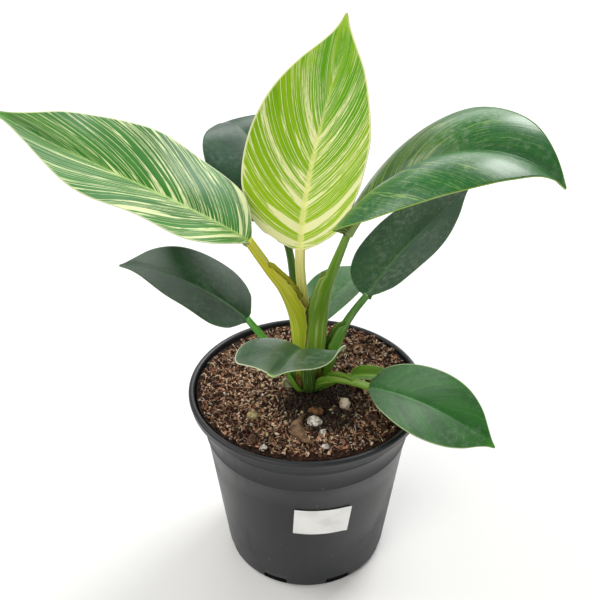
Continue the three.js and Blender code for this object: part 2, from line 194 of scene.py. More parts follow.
# %% [markdown]
# ## Camera, light and floor
# The plant is looked at from a little above the rim, about 32 degrees down, with a normal lens. A soft
# light high behind gives the leaves their broad sheen, one from the left shapes the pot, and a third
# from the front left opens the shadows. A fourth whitens the floor far behind. The white floor and a dim
# sky fill in the rest. A brighter sky would veil the dark leaves with its reflection.

# %% Studio
CAMERA_PLACE = (-0.0031, -0.3117, 0.3368)
CAMERA_DOWN = 32.18  # degrees below level
LENS = 50.4  # mm, on a 36 mm sensor

camera_data = bpy.data.cameras.new("camera")
camera_data.lens = LENS
camera_data.sensor_width = 36
camera_data.clip_start = 0.01
camera = bpy.data.objects.new("camera", camera_data)
camera.location = CAMERA_PLACE
camera.rotation_euler = (math.radians(90 - CAMERA_DOWN), 0, 0)
bpy.context.scene.collection.objects.link(camera)
bpy.context.scene.camera = camera
bpy.context.scene.view_settings.view_transform = "Standard"


def soft_light(name, place, target, size, watts, colour="#ffffff"):
    """A square soft box aimed at a point."""
    data = bpy.data.lights.new(name, "AREA")
    data.size = size
    data.energy = watts
    data.color = linear(colour)[:3]
    lamp = bpy.data.objects.new(name, data)
    lamp.location = place
    lamp.rotation_euler = (Vector(target) - Vector(place)).to_track_quat("-Z", "Y").to_euler()
    bpy.context.scene.collection.objects.link(lamp)


PLANT_MIDDLE = (0, 0, 0.15)
SKY_STRENGTH = 0.42
FLOOR_HALF = 6  # metres
soft_light("overhead", (0.5, 0.62, 1.0), PLANT_MIDDLE, 0.5, 8.5)
soft_light("left", (-0.95, 0.15, 1.0), PLANT_MIDDLE, 0.6, 4.5)
soft_light("front_left", (-0.6, -0.95, 0.95), PLANT_MIDDLE, 0.7, 6.5, "#fffaf2")
soft_light("backdrop", (0, 1.9, 1.1), (0, 1.7, 0), 1.4, 13)

world = bpy.data.worlds.new("light_tent")
bpy.context.scene.world = world
world.use_nodes = True
world.node_tree.nodes["Background"].inputs["Color"].default_value = linear("#ffffff")
world.node_tree.nodes["Background"].inputs["Strength"].default_value = SKY_STRENGTH

floor_mesh = bmesh.new()
bmesh.ops.create_grid(floor_mesh, x_segments=1, y_segments=1, size=FLOOR_HALF)
floor_data = bpy.data.meshes.new("floor")
floor_mesh.to_mesh(floor_data)
floor_mesh.free()
floor = bpy.data.objects.new("floor", floor_data)
bpy.context.scene.collection.objects.link(floor)
floor_data.materials.append(new_material("matt_white_paper_sweep", base_color=linear("#fbfbfa"),
                                         roughness=0.9)[0])
print("camera", camera.location[:], "lens", LENS)

# %% [markdown]
# ## The nursery pot
# The real pot is injection moulded in one shot of recycled polypropylene: a tapered wall under 1.5 mm
# thick, a rolled rim to lift it by, a faint raised line, and slots round the foot so that water can
# leave. A turned profile is how its mould was cut, so a spun profile gives the whole wall at once. The
# slots are cut through it afterwards with eight plain blocks.

# %% Pot sizes, from the frame
pot_low, pot_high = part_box("pot")
POT_HEIGHT = pot_high.z / MM
RIM_RADIUS = (pot_high.x - pot_low.x) / 2 / MM
FOOT_RADIUS = 39.5
WALL = 1.4
FLOOR = 2.0
SHOULDER = 5.2  # rim beyond the wall
RIM_DEPTH = 5.0
LIP = 2.9  # width of the rolled lip
BEAD_HEIGHT = POT_HEIGHT - 22
LINE_HEIGHT = POT_HEIGHT - 11.7
DRAIN_SLOTS = 8
SLOT_WIDTH = 12.0
SLOT_DEEP = 14  # length of each cutting block across the wall
SLOT_LOW, SLOT_HIGH = 1.2, 5.0
POT_STEPS = 160
wall_top = POT_HEIGHT - RIM_DEPTH
print("pot", round(POT_HEIGHT, 1), "mm high,", round(2 * RIM_RADIUS, 1), "mm over the rim")


def wall_radius(height):
    """Outside radius of the tapered wall at a height, in mm."""
    return FOOT_RADIUS + (RIM_RADIUS - SHOULDER - FOOT_RADIUS) * height / wall_top


# %% Moulded plastic
# Polypropylene filled with carbon black: charcoal rather than black, a satin skin that scuffs, and a
# film of dust and dried compost water that dulls it in patches.


def moulded_plastic():
    """Charcoal plastic under a film of dust, with scuffs that run up and down the wall."""
    material, tree, shader = new_material("moulded_charcoal_polypropylene", ior=1.49)
    place = add_node(tree, "ShaderNodeTexCoord").outputs["Object"]
    height = add_node(tree, "ShaderNodeSeparateXYZ", {0: place}).outputs["Z"]
    clouds = grain(tree, place, 22, detail=5, roughness=0.6)
    streaked = add_node(tree, "ShaderNodeMapping", {"Vector": place, "Scale": (260, 260, 18)}).outputs[0]
    scuffs = grain(tree, streaked, 1.0, detail=3)
    dusty = maths(tree, "ADD", map_to(tree, clouds, 0.42, 0.72, 0, 0.55),
                  map_to(tree, scuffs, 0.55, 0.8, 0, 0.25))
    low_dust = map_to(tree, height, 0.0, 0.05, 0.35, 0.0)
    film = maths(tree, "MINIMUM", maths(tree, "ADD", dusty, low_dust), 0.8)
    colour = blend_colours(tree, film, linear("#18191d"), linear("#292b30"))
    specks = map_to(tree, grain(tree, place, 700, detail=1), 0.76, 0.82)
    colour = blend_colours(tree, maths(tree, "MULTIPLY", specks, 0.5), colour, linear("#8d8478"))
    rough = map_to(tree, film, 0.0, 0.8, 0.36, 0.58)
    fine = grain(tree, place, 2600, detail=1)  # 0.4 mm sparking texture of the mould
    bump = add_node(tree, "ShaderNodeBump", {"Strength": 0.06, "Distance": 0.2 * MM, "Height": fine})
    tree.links.new(colour, shader.inputs["Base Color"])
    tree.links.new(rough, shader.inputs["Roughness"])
    tree.links.new(bump.outputs[0], shader.inputs["Normal"])
    return material


pot_plastic = moulded_plastic()

# %% Pot body


def rounded(corner_r, corner_z, radius, start, end, steps):
    """Points of an arc in the profile, by its centre, radius and start and end angles in degrees."""
    return [(corner_r + radius * math.cos(math.radians(start + (end - start) * i / steps)),
             corner_z + radius * math.sin(math.radians(start + (end - start) * i / steps)))
            for i in range(steps + 1)]


def pot_profile():
    """The half section of the pot, from the middle of the foot up, over the rim and down the inside."""
    lip_inside = RIM_RADIUS - LIP
    ledge = wall_top + WALL
    outside = [(0, 0.0), (FOOT_RADIUS - 12, 0.0), (FOOT_RADIUS - 3, 0.0)]
    outside += rounded(FOOT_RADIUS - 2.7, 3, 3, -90, -4, 6)
    outside += [(wall_radius(z), z) for z in (SLOT_HIGH, 8, 20, 40, 60)]
    for height, proud in ((BEAD_HEIGHT, 0.5), (LINE_HEIGHT, 0.3)):
        outside += [(wall_radius(height + step) + proud * share, height + step)
                    for step, share in ((-1, 0), (-0.4, 0.8), (0, 1), (0.4, 0.8), (1, 0))]
    outside += [(wall_radius(wall_top - 2.4), wall_top - 2.4)]
    rim = rounded(wall_radius(wall_top) + 0.8, wall_top - 0.8, 0.8, 180, 90, 3)
    rim += rounded(RIM_RADIUS - 1.2, wall_top + 0.6, 0.6, -90, 0, 4)
    rim += [(RIM_RADIUS - 0.6, POT_HEIGHT - 2.7)]
    rim += rounded(RIM_RADIUS - LIP / 2, POT_HEIGHT - LIP / 2, LIP / 2, -25, 180, 12)
    inside = [(lip_inside, ledge + 0.4), (lip_inside - 0.4, ledge)]
    inside += [(wall_radius(z) - WALL, z) for z in (ledge, 60, 30, 8)]
    inside += [(wall_radius(FLOOR) - WALL - 3, FLOOR), (0, FLOOR)]
    return outside + rim + inside


pot = finish_mesh("nursery_pot", spin_profile(pot_profile(), POT_STEPS), pot_plastic, ["pot"])

cutter_mesh = bmesh.new()
for slot in range(DRAIN_SLOTS):
    turn = Matrix.Rotation((slot + 0.5) * math.tau / DRAIN_SLOTS, 4, "Z")
    place = Matrix.Translation((FOOT_RADIUS * MM, 0, (SLOT_LOW + SLOT_HIGH) / 2 * MM))
    shape = Matrix.Diagonal((SLOT_DEEP * MM, SLOT_WIDTH * MM, (SLOT_HIGH - SLOT_LOW) * MM, 1))
    block = bmesh.ops.create_cube(cutter_mesh, size=1, matrix=turn @ place @ shape)
    edges = list({edge for vert in block["verts"] for edge in vert.link_edges})
    bmesh.ops.bevel(cutter_mesh, geom=edges, offset=0.8 * MM, offset_type="OFFSET", segments=3,
                    profile=0.5, affect="EDGES", material=-1, clamp_overlap=True)
cutter_data = bpy.data.meshes.new("slot_blocks")
cutter_mesh.to_mesh(cutter_data)
cutter_mesh.free()
cutter = bpy.data.objects.new("slot_blocks", cutter_data)
bpy.context.scene.collection.objects.link(cutter)
slots = pot.modifiers.new("drain_slots", "BOOLEAN")
slots.operation = "DIFFERENCE"
slots.solver = "EXACT"
slots.object = cutter
apply_modifiers(pot)
bpy.data.objects.remove(cutter)
print("pot faces", len(pot.data.polygons))

# %% [markdown]
# ## The label
# A slip of self-adhesive paper, stuck on by hand, so it sits a little out of level. It is left blank.
# Paper this thin takes the curve of the wall; a grid bent on to the cone and then given its thickness
# keeps the edges crisp.

# %% Label paper


def label_paper():
    """White paper, a little soiled."""
    material, tree, shader = new_material("matt_label_paper", roughness=0.62, ior=1.5)
    place = add_node(tree, "ShaderNodeTexCoord").outputs["Object"]
    fibre = grain(tree, place, 1400, detail=3)  # paper fibre, drawn at 0.7 mm so that it shows
    stain = grain(tree, place, 90, detail=3)
    colour = blend_colours(tree, map_to(tree, stain, 0.4, 0.75), linear("#f0f0ee"), linear("#dededa"))
    bump = add_node(tree, "ShaderNodeBump", {"Strength": 0.15, "Distance": 0.1 * MM, "Height": fibre})
    tree.links.new(colour, shader.inputs["Base Color"])
    tree.links.new(bump.outputs[0], shader.inputs["Normal"])
    return material


LABEL_SIZE = (25.5, 16.5)
LABEL_MIDDLE = 51.0  # height of its middle
LABEL_TURN = 8.6  # degrees round the pot from the front
LABEL_TILT = 3.5  # degrees, its right end lower
LABEL_LIFT = 0.42  # how far off the wall the sheet is bent, before it is thickened

label_mesh = bmesh.new()
bmesh.ops.create_grid(label_mesh, x_segments=32, y_segments=16, size=0.5)
tilt = math.radians(-LABEL_TILT)
for vert in label_mesh.verts:
    # the tilt by hand, then the bend on to the wall, with the right end lifting a little
    across, up = vert.co.x * LABEL_SIZE[0], vert.co.y * LABEL_SIZE[1]
    x = across * math.cos(tilt) - up * math.sin(tilt)
    z = LABEL_MIDDLE + across * math.sin(tilt) + up * math.cos(tilt)
    lift = LABEL_LIFT + 0.5 * max(0.0, across / LABEL_SIZE[0] * 2) ** 10
    angle = math.radians(LABEL_TURN) + x / wall_radius(LABEL_MIDDLE)
    radius = wall_radius(z) + lift
    vert.co = Vector((radius * math.sin(angle), -radius * math.cos(angle), z)) * MM
bmesh.ops.solidify(label_mesh, geom=label_mesh.faces[:], thickness=0.22 * MM)
bmesh.ops.recalc_face_normals(label_mesh, faces=label_mesh.faces)
label = finish_mesh("blank_label", label_mesh, label_paper(), ["label"], smooth=False)
print("label faces", len(label.data.polygons))

# %% [markdown]
# ## How a leaf is described
# Each leaf is a stalk and a blade. The blade is a thin sheet: its midrib sweeps from the base in a
# slowly changing direction, and each half leaves the midrib at a fold angle and bends on by a curl angle
# to the margin. All the blades share one outline, the pointed oval of the species. Places are
# in millimetres, with heights measured from the plant's own level, a little below the soil's surface.

# %% The ten leaves
BLADE_OUTLINE = [
    (0, 0.07), (0.015, 0.2), (0.04, 0.38), (0.09, 0.65), (0.17, 0.84), (0.27, 0.96), (0.42, 1.0),
    (0.56, 0.94), (0.68, 0.8), (0.79, 0.57), (0.887, 0.275), (0.95, 0.105), (1.0, 0.012),
]

# yaw: heading, 0 straight back, 90 to the right. pitch: climb. roll: lean to the right. In degrees,
# from base to tip. fold, curl: how each half leaves the midrib and bends on. wave: depth, number and
# phase of its ripples. path: where the stalk runs. across, deep: half sizes of the stalk. wing: height of
# the sheath's free edges. fuller_right: how many times its own width the right half has. lift_side: the
# half that leaves the midrib at lift_fold and turns up by lift at its margin, 1 for right and -1 for left.
LEAVES = {
    "centre": dict(
        base=(-3.1, 1.6, 78.2), length=102, half=30.3, yaw=(6, 43), pitch=(58, 37, 82), roll=(16, 2),
        fold=8, curl=27, fuller_right=1.1, wave=(0.8, 1.6, 0.4),
        path=[(1, 1.2, 6), (0.8, 1.2, 25), (-0.2, 1.2, 43), (-2, 1.2, 58), (-3, 1.3, 69)],
        across=(2, 2, 2.1, 2.2, 2.2, 2.2), deep=(2, 2, 2.1, 2.2, 2.1, 1.8), wing=[(0, 0), (1, 0)]),
    "right_arched": dict(
        base=(15.8, -11.4, 92.7), length=101.6, half=32.4, yaw=(104, 105), pitch=(67, 37, -47),
        roll=(9, -24), fold=33, curl=-68, wave=(0.9, 1.4, 2.0),
        path=[(2.2, 0, 6), (3, -0.3, 18), (4, -0.8, 31), (5, -2.2, 46), (7, -5, 61), (10.9, -8, 76)],
        across=(3, 3.8, 4.2, 3.9, 3.2, 2.5, 2.1), deep=(3.2, 4.2, 4.6, 4.3, 3.6, 2.6, 1.8),
        wing=[(0, 2.5), (0.17, 4), (0.33, 5.2), (0.5, 5.2), (0.67, 4.4), (0.755, 3.6), (0.785, 0),
              (1, 0)]),
    "left_striped": dict(
        base=(-23.6, -6.8, 86.6), length=112, half=30.2, yaw=(-80, -91), pitch=(31, 18, 36),
        roll=(2, 15), fold=20, curl=-14, wave=(1.6, 2.2, 1.2),
        path=[(-0.8, 0.5, 6), (-1.6, 0.5, 19), (-2.4, 0.4, 32), (-4, -1.2, 47), (-9, -2.8, 61),
              (-15.7, -4.6, 72)],
        across=(3, 3.9, 4.2, 3.8, 3, 2.5, 2.4), deep=(3.2, 4, 4.3, 4.2, 3.4, 2.6, 2.2),
        wing=[(0, 1.5), (0.33, 2.5), (0.56, 5.2), (0.7, 4.0), (0.8, 3.1), (0.84, 2.8), (0.865, 0),
              (1, 0)]),
    "front": dict(
        base=(-0.5, -16.8, 38.2), length=67.2, half=23.8, yaw=(194, 190), pitch=(49, -2, 36),
        roll=(-3, -14), fold=29, curl=-50, wave=(0.7, 1.2, 0.0),
        lift_side=-1, lift_fold=11, lift=40,
        path=[(1.2, -2.6, 6), (1, -7.2, 13), (0.1, -11.5, 24.4), (-0.3, -14.6, 32.4)],
        across=(3, 3, 2.8, 2.3, 2), deep=(2.4, 2.5, 2.4, 2, 1.8), wing=[(0, 1.5), (0.4, 1), (0.5, 0),
                                                                       (1, 0)]),
    "right_low": dict(
        base=(26.9, -18.4, 20.4), length=61.5, half=20.3, yaw=(103, 116), pitch=(-3, -19, -31),
        roll=(-1, -21), fold=7, curl=0, wave=(0.5, 1.5, 1.0),
        path=[(3, -1.5, 6), (5.6, -6, 12.5), (9, -10.5, 18.5), (13.4, -13.8, 21.6),
              (19.4, -16.5, 22)],
        across=(2.4, 2.8, 2.8, 2.6, 2, 1.8), deep=(2.2, 2.4, 2.6, 2.3, 1.8, 1.6),
        wing=[(0, 1.5), (0.4, 2.4), (0.62, 2.2), (0.8, 1.4), (0.84, 0), (1, 0)]),
    "right_dark": dict(
        base=(26.3, 4, 53.5), length=72.3, half=20.4, yaw=(37, 75), pitch=(30, 24, 48),
        roll=(15, -5), fold=8, curl=9, wave=(0.6, 1.3, 0.5),
        path=[(4, 1.2, 6), (9.4, 0.8, 17), (12.6, 0.8, 27.5), (16.4, 2, 38), (20.7, 3.3, 45.5)],
        across=(2.2, 2.6, 2.7, 2.1, 1.8, 1.7), deep=(2.1, 2.4, 2.6, 2.1, 1.8, 1.6),
        wing=[(0, 2), (0.25, 3.8), (0.45, 5.4), (0.6, 4.0), (0.66, 0), (1, 0)]),
    "left_dark": dict(
        base=(-26.3, 1.5, 42.7), length=62.5, half=20.5, yaw=(-75, -108), pitch=(39, 32, 13),
        roll=(5, 12), fold=10, curl=-6, wave=(0.5, 1.4, 2.2),
        path=[(-1.4, -1.2, 6), (-4, -5, 10.5), (-8, -4.6, 18.5), (-13.4, -2.4, 26),
              (-19.8, 0.3, 33.8)],
        across=(2.2, 2.4, 2.3, 1.9, 1.7, 1.6), deep=(2.1, 2.3, 2.2, 1.9, 1.7, 1.5),
        wing=[(0, 1), (0.3, 1.6), (0.45, 0), (1, 0)]),
    "back_dark": dict(
        base=(-11.5, 20.2, 79.6), length=77.5, half=25.3, yaw=(-22, -31), pitch=(62, 30, -26),
        roll=(4, 5), fold=8, curl=-11, wave=(0.8, 1.5, 0.7),
        path=[(-0.6, 3.4, 6), (-2, 7, 21), (-4.2, 9.6, 39), (-6, 12, 57), (-7.9, 15.6, 70)],
        across=(2, 2.1, 2, 1.8, 1.7, 1.7), deep=(2, 2.1, 2, 1.8, 1.7, 1.6),
        wing=[(0, 1), (0.35, 1.6), (0.45, 0), (1, 0)]),
    "back_small": dict(
        base=(2.5, 15.5, 30.6), length=44, half=16.5, yaw=(56, 31), pitch=(48, 18, 3),
        roll=(11, 14), fold=12, curl=10, wave=(0.4, 1.2, 1.1),
        path=[(1.8, 3.6, 6), (2.4, 8.8, 15), (2.5, 12.6, 23)],
        across=(1.9, 2, 1.8, 1.6), deep=(1.9, 1.9, 1.7, 1.5), wing=[(0, 0), (1, 0)]),
    "right_tiny": dict(
        base=(19.9, -3, 14.6), length=22, half=5, yaw=(84, 96), pitch=(6, -4, -18),
        roll=(-6, -10), fold=14, curl=8, wave=(0.2, 1.2, 0.0),
        path=[(3.6, -1.2, 5), (8.4, -3.4, 9.8), (14, -3.8, 13)],
        across=(1.6, 1.8, 1.6, 1.3), deep=(1.6, 1.7, 1.5, 1.2), wing=[(0, 0), (1, 0)]),
}
print("leaves", len(LEAVES), "longest blade", max(leaf["length"] for leaf in LEAVES.values()), "mm")

# %% Where a blade's surface lies
MIDRIB_STEPS = 120
GUTTER_START = 0.45  # share of the half width where a turned-up margin begins
CREASE = 0.35  # share of the fold angle that is left right at the midrib, which is rounded


def glide(values, share):
    """A value that runs smoothly from the first control value to the last."""
    while len(values) > 1:
        values = [a + (b - a) * share for a, b in zip(values, values[1:])]
    return values[0]


def blade_frame(leaf, share):
    """Heading, side and upper-side directions of a blade at a place along its midrib."""
    yaw, pitch, roll = (math.radians(glide(leaf[key], share)) for key in ("yaw", "pitch", "roll"))
    ahead = Vector((math.cos(pitch) * math.sin(yaw), math.cos(pitch) * math.cos(yaw), math.sin(pitch)))
    side = Vector((math.cos(yaw), -math.sin(yaw), 0))
    up = side.cross(ahead)
    return ahead, side * math.cos(roll) + up * math.sin(roll), up * math.cos(roll) - side * math.sin(roll)


def blade_base(leaf):
    """Where the blade begins, in mm."""
    return Vector(leaf["base"]) + Vector((0, 0, PLANT_LEVEL))


def walk_midrib(leaf):
    """Points along the midrib, evenly spaced, in mm."""
    points = [blade_base(leaf)]
    step = leaf["length"] / MIDRIB_STEPS
    for i in range(MIDRIB_STEPS):
        points.append(points[-1] + blade_frame(leaf, (i + 0.5) / MIDRIB_STEPS)[0] * step)
    return points


def outline_share(share):
    """Half width of a blade as a share of its widest place, smooth between the outline's points."""
    for i, ((low, first), (high, second)) in enumerate(zip(BLADE_OUTLINE, BLADE_OUTLINE[1:])):
        if share <= high or i == len(BLADE_OUTLINE) - 2:
            break
    slopes = []
    for j in (i, i + 1):
        left, right = BLADE_OUTLINE[max(j - 1, 0)], BLADE_OUTLINE[min(j + 1, len(BLADE_OUTLINE) - 1)]
        slopes.append((right[1] - left[1]) / (right[0] - left[0]) * (high - low))
    f = min(max((share - low) / (high - low), 0.0), 1.0)
    return ((2 * f ** 3 - 3 * f * f + 1) * first + (f ** 3 - 2 * f * f + f) * slopes[0]
            + (3 * f * f - 2 * f ** 3) * second + (f ** 3 - f * f) * slopes[1])


def blade_point(leaf, spine, along, out):
    """The place in space of a flat leaf point: along the midrib and out from it, both in mm."""
    share = min(max(along / leaf["length"], 0.0), 1.0)
    i = min(int(share * MIDRIB_STEPS), MIDRIB_STEPS - 1)
    centre = spine[i].lerp(spine[i + 1], share * MIDRIB_STEPS - i)
    _, side, up = blade_frame(leaf, share)
    hand = 1 if out >= 0 else -1
    away = abs(out) * (leaf.get("fuller_right", 1.0) if hand > 0 else 1.0)
    lifted = hand == leaf.get("lift_side")
    # the crease at the midrib is rounded over its first 3 mm
    fold = math.radians(leaf["lift_fold" if lifted else "fold"]) * min(1.0, CREASE + away / 4.5)
    bend = math.radians(leaf["curl"]) / leaf["half"]
    bend = bend if abs(bend) > 1e-6 else 1e-6
    lean = fold + bend * away
    flat = (math.sin(lean) - math.sin(fold)) / bend
    rise = (math.cos(fold) - math.cos(lean)) / bend
    if lifted:
        # this half's outer part turns up like a gutter
        beyond = max(0.0, away - leaf["half"] * GUTTER_START)
        turn_up = math.radians(leaf["lift"]) * beyond / (leaf["half"] * (1 - GUTTER_START))
        rise += beyond * math.sin(turn_up)
        flat -= beyond * (1 - math.cos(turn_up))
    depth, waves, phase = leaf["wave"]
    ripple = depth * (away / leaf["half"]) ** 2 * math.sin(
        math.tau * waves * share + phase + (0.9 if hand < 0 else 0.0))
    groove = -0.45 * math.exp(-((away / 0.9) ** 2)) * (1 - share)
    dimple = 0.35 * noise.noise(Vector((along / 16, out / 14, leaf["length"])))
    place = centre + side * (hand * flat) + up * rise
    normal = up * math.cos(lean) - side * (hand * math.sin(lean))
    return place + normal * (ripple + groove + dimple)


tip = walk_midrib(LEAVES["centre"])[-1]
print("tip of the centre leaf at", [round(c, 1) for c in tip], "mm")

# %% [markdown]
# ## Veins that the mesh follows
# A philodendron's side veins leave the midrib at an angle and sweep forward to meet the margin. The
# cream streaks, the fine ribbing and the sheen all run along them. So the blade isn't an even grid:
# each row of its mesh is one vein, from the midrib to the margin, and its UV map says which vein and
# how far along it. Any pattern that is stretched along the row then follows the veins by itself.

# %% Veins
FAN = 0.2  # share of the rows that fan out from the foot of the blade
FAN_REACH = 0.03  # the fan leaves the first part of the midrib
CROWDING = 1.3  # above 1, the rows lie closer towards the foot
LEFT_AHEAD = 0.85  # a vein from the very foot would leave this share of the length ahead of its head
SWEEP = 2.6  # above 1, the heads close up on the tip faster than the feet do
VEIN_BOW = math.tan(math.radians(14))


def vein_ends(row):
    """Where a vein leaves the midrib and where it meets the margin, as shares of the length."""
    if row < FAN:
        start = FAN_REACH * row / FAN
        return start, (1 - LEFT_AHEAD * (1 - FAN_REACH) ** SWEEP) * (row / FAN) ** CROWDING
    start = FAN_REACH + (0.998 - FAN_REACH) * ((row - FAN) / (1 - FAN)) ** CROWDING
    return start, 1 - LEFT_AHEAD * (1 - start) ** SWEEP


def vein_point(leaf, row, share):
    """A point of a vein in the flat leaf: along the midrib and out from it, in mm."""
    start, end = vein_ends(row)
    foot = Vector((start * leaf["length"], 0))
    head = Vector((end * leaf["length"], outline_share(end) * leaf["half"]))
    chord = head - foot
    knee = (foot + head) / 2 + Vector((-chord.y, chord.x)) * 0.5 * VEIN_BOW
    return foot * (1 - share) ** 2 + knee * 2 * share * (1 - share) + head * share ** 2


# %% Blade mesh
VEIN_ROWS = 96
VEIN_COLUMNS = 16
BLADE_THICK = 2.4  # mm at the foot of the midrib; every other place is a share of it


def blade_thickness(leaf, share, away, to_margin):
    """Thickness as a share of BLADE_THICK: a keel under the midrib, thin towards the margin."""
    keel = (0.85 * (1 - share) ** 1.2 + 0.1) * math.exp(-((away / 1.5) ** 2))
    sheet = 0.2 if to_margin > 1.0 else 0.13 + 0.07 * to_margin
    return min(1.0, sheet + keel * min(1.0, leaf["half"] / 25))


def build_blade(name, leaf, materials):
    """The blade as a sheet laid out by its veins, then thickened; its underside has its own material."""
    spine = walk_midrib(leaf)
    sheet = bmesh.new()
    bmesh.ops.create_grid(sheet, x_segments=2 * VEIN_COLUMNS, y_segments=VEIN_ROWS, size=1)
    margin_layer = sheet.verts.layers.float.new("to_margin")
    midrib_layer = sheet.verts.layers.float.new("from_midrib")
    along_layer = sheet.verts.layers.float.new("along")
    weights = sheet.verts.layers.deform.new()
    uv_of = {}
    for vert in sheet.verts:
        hand = -1 if vert.co.x < 0 else 1
        share = between([(0, 0), (0.06, 0.03), (0.92, 0.965), (1, 1)], abs(vert.co.x))
        row = (vert.co.y + 1) / 2
        flat = vein_point(leaf, row, share)
        length_share = min(1.0, flat.x / leaf["length"])
        margin = max(0.0, outline_share(length_share) * leaf["half"] - flat.y)
        uv_of[vert.index] = (0.5 + 0.5 * hand * share, row)
        vert[margin_layer] = margin if share < 1 else 0.0
        vert[midrib_layer] = flat.y
        vert[along_layer] = length_share
        vert[weights][0] = blade_thickness(leaf, length_share, flat.y, margin)
        vert.co = blade_point(leaf, spine, flat.x, hand * flat.y) * MM
    uv_layer = sheet.loops.layers.uv.new("veins")
    sheet.verts.index_update()
    for face in sheet.faces:
        for loop in face.loops:
            loop[uv_layer].uv = uv_of[loop.vert.index]
    bmesh.ops.recalc_face_normals(sheet, faces=sheet.faces)
    upper = blade_frame(leaf, 0.5)[2]
    middle = min(sheet.faces, key=lambda face: abs(face.verts[0][along_layer] - 0.5))
    if middle.normal.dot(upper) < 0:
        bmesh.ops.reverse_faces(sheet, faces=sheet.faces)
    blade = finish_mesh(f"leaf_blade_{name}", sheet, materials, [f"blade_{name}"])
    blade.vertex_groups.new(name="thickness")
    body = blade.modifiers.new("body", "SOLIDIFY")
    body.thickness = BLADE_THICK * MM
    body.offset = -1
    body.vertex_group = "thickness"
    body.use_quality_normals = True
    body.material_offset = 1
    body.material_offset_rim = 0
    apply_modifiers(blade)
    return blade


print("rows", VEIN_ROWS, "columns", 2 * VEIN_COLUMNS)

# %% [markdown]
# ## Leaf skin
# A living leaf is a sheet of green cells under a clear waxy skin. What the eye gets is a soft green
# from inside and a satin reflection from the wax, broken up by fine ribs along the veins. The streaks are
# tissue without green pigment. One material builder makes them all, with the colours and amounts of
# each leaf given by name, because the tissue is the same and only its colour and age differ.

# %% Patterns along the veins


class LeafPlaces:
    """What the mesh tells a leaf's material, with the patterns that follow from it."""

    def __init__(self, tree, seed):
        self.tree, self.seed = tree, seed
        self.veins = add_node(tree, "ShaderNodeUVMap", uv_map="veins").outputs[0]
        self.body = add_node(tree, "ShaderNodeTexCoord").outputs["Object"]
        self.from_midrib, self.to_margin, self.along = (
            add_node(tree, "ShaderNodeAttribute", attribute_name=layer).outputs["Fac"]
            for layer in ("from_midrib", "to_margin", "along"))

    def noise(self, run, rows, shift, detail=1.0):
        """Noise with this many cells from margin to margin, and this many across all the rows."""
        place = add_node(self.tree, "ShaderNodeMapping", {
            "Vector": self.veins, "Scale": (run, rows, 1), "Location": (self.seed * 3.1 + shift, shift, 0)})
        return grain(self.tree, place.outputs[0], 1.0, detail=detail, dimensions="2D")

    def thin_lines(self, rows, shift, width):
        """Thin lines, at every place where the noise crosses its middle value."""
        off_middle = maths(self.tree, "SUBTRACT", self.noise(0.9, rows, shift, 0.0), 0.5)
        return map_to(self.tree, maths(self.tree, "ABSOLUTE", off_middle), width * 0.3, width, 1.0, 0.0)


# %% Streaks of pale tissue
# A stripe is made from stretched noise: where the noise is high there is a broad band of pale tissue, and
# where it crosses its middle value there is a thin line. Both then run along the veins.
PALE_REACH = 0.3  # share of the length over which the pale foot fades
BAND_REACH = 26  # mm from the midrib at which broad bands are rarest
BAND_FRAY = 0.12  # how ragged the side of a broad band is
FEWER_AT_TIP = 0.25


def pale_streaks(tree, places, look):
    """How much of each place is pale tissue: broad bands and thin, broken lines."""
    toward_tip = map_to(tree, places.along, 0.45, 0.95, 1.0, look["streak_at_tip"])
    toward_foot = map_to(tree, places.along, 0.0, PALE_REACH, look["pale_foot"], 0.0)
    toward_edge = map_to(tree, places.from_midrib, 2, BAND_REACH, 0.03, -0.08)
    frayed = maths(tree, "MULTIPLY", places.noise(7, 210, 1.3), BAND_FRAY)
    level = maths(tree, "ADD", places.noise(1.1, look["band_rows"], 8.2, 0.0), frayed)
    level = maths(tree, "ADD", level, maths(tree, "ADD", toward_foot, toward_edge))
    level = maths(tree, "SUBTRACT", level, map_to(tree, places.along, 0.4, 0.8, 0.0, FEWER_AT_TIP))
    bands = map_to(tree, level, look["band_cut"] - 0.015, look["band_cut"] + 0.015)
    lines = maths(tree, "MAXIMUM", places.thin_lines(look["line_rows"], 0.0, look["line_width"]),
                  places.thin_lines(look["line_rows"] * 1.3, 6.4, look["line_width"]))
    broken = map_to(tree, places.noise(20, 160, 2.2), 0.35, 0.55, look["line_low"], 1.0)
    lines = maths(tree, "MULTIPLY", lines, broken)
    streaks = maths(tree, "MULTIPLY", maths(tree, "MAXIMUM", bands, lines), toward_tip)
    return maths(tree, "MULTIPLY", streaks, look["streak_share"])


def young_far_half(tree, places, look, colour):
    """The half turned away keeps the fine yellow lines of its youth, from the foot to mid-length."""
    side = add_node(tree, "ShaderNodeSeparateXYZ", {0: places.veins}).outputs[0]
    far = maths(tree, "LESS_THAN", side, 0.5)
    young = maths(tree, "MULTIPLY", far, map_to(tree, places.along, 0.4, 0.62, 1.0, 0.0))
    colour = blend_colours(tree, maths(tree, "MULTIPLY", young, 0.5), colour, linear("#35520c"))
    fine = maths(tree, "MAXIMUM", places.thin_lines(46, 1.9, 0.07), places.thin_lines(60, 7.7, 0.06))
    lined = maths(tree, "MULTIPLY", maths(tree, "MULTIPLY", young, fine), 0.75)
    return blend_colours(tree, lined, colour, linear(look["far_lines"]))


# %% Midrib and dust


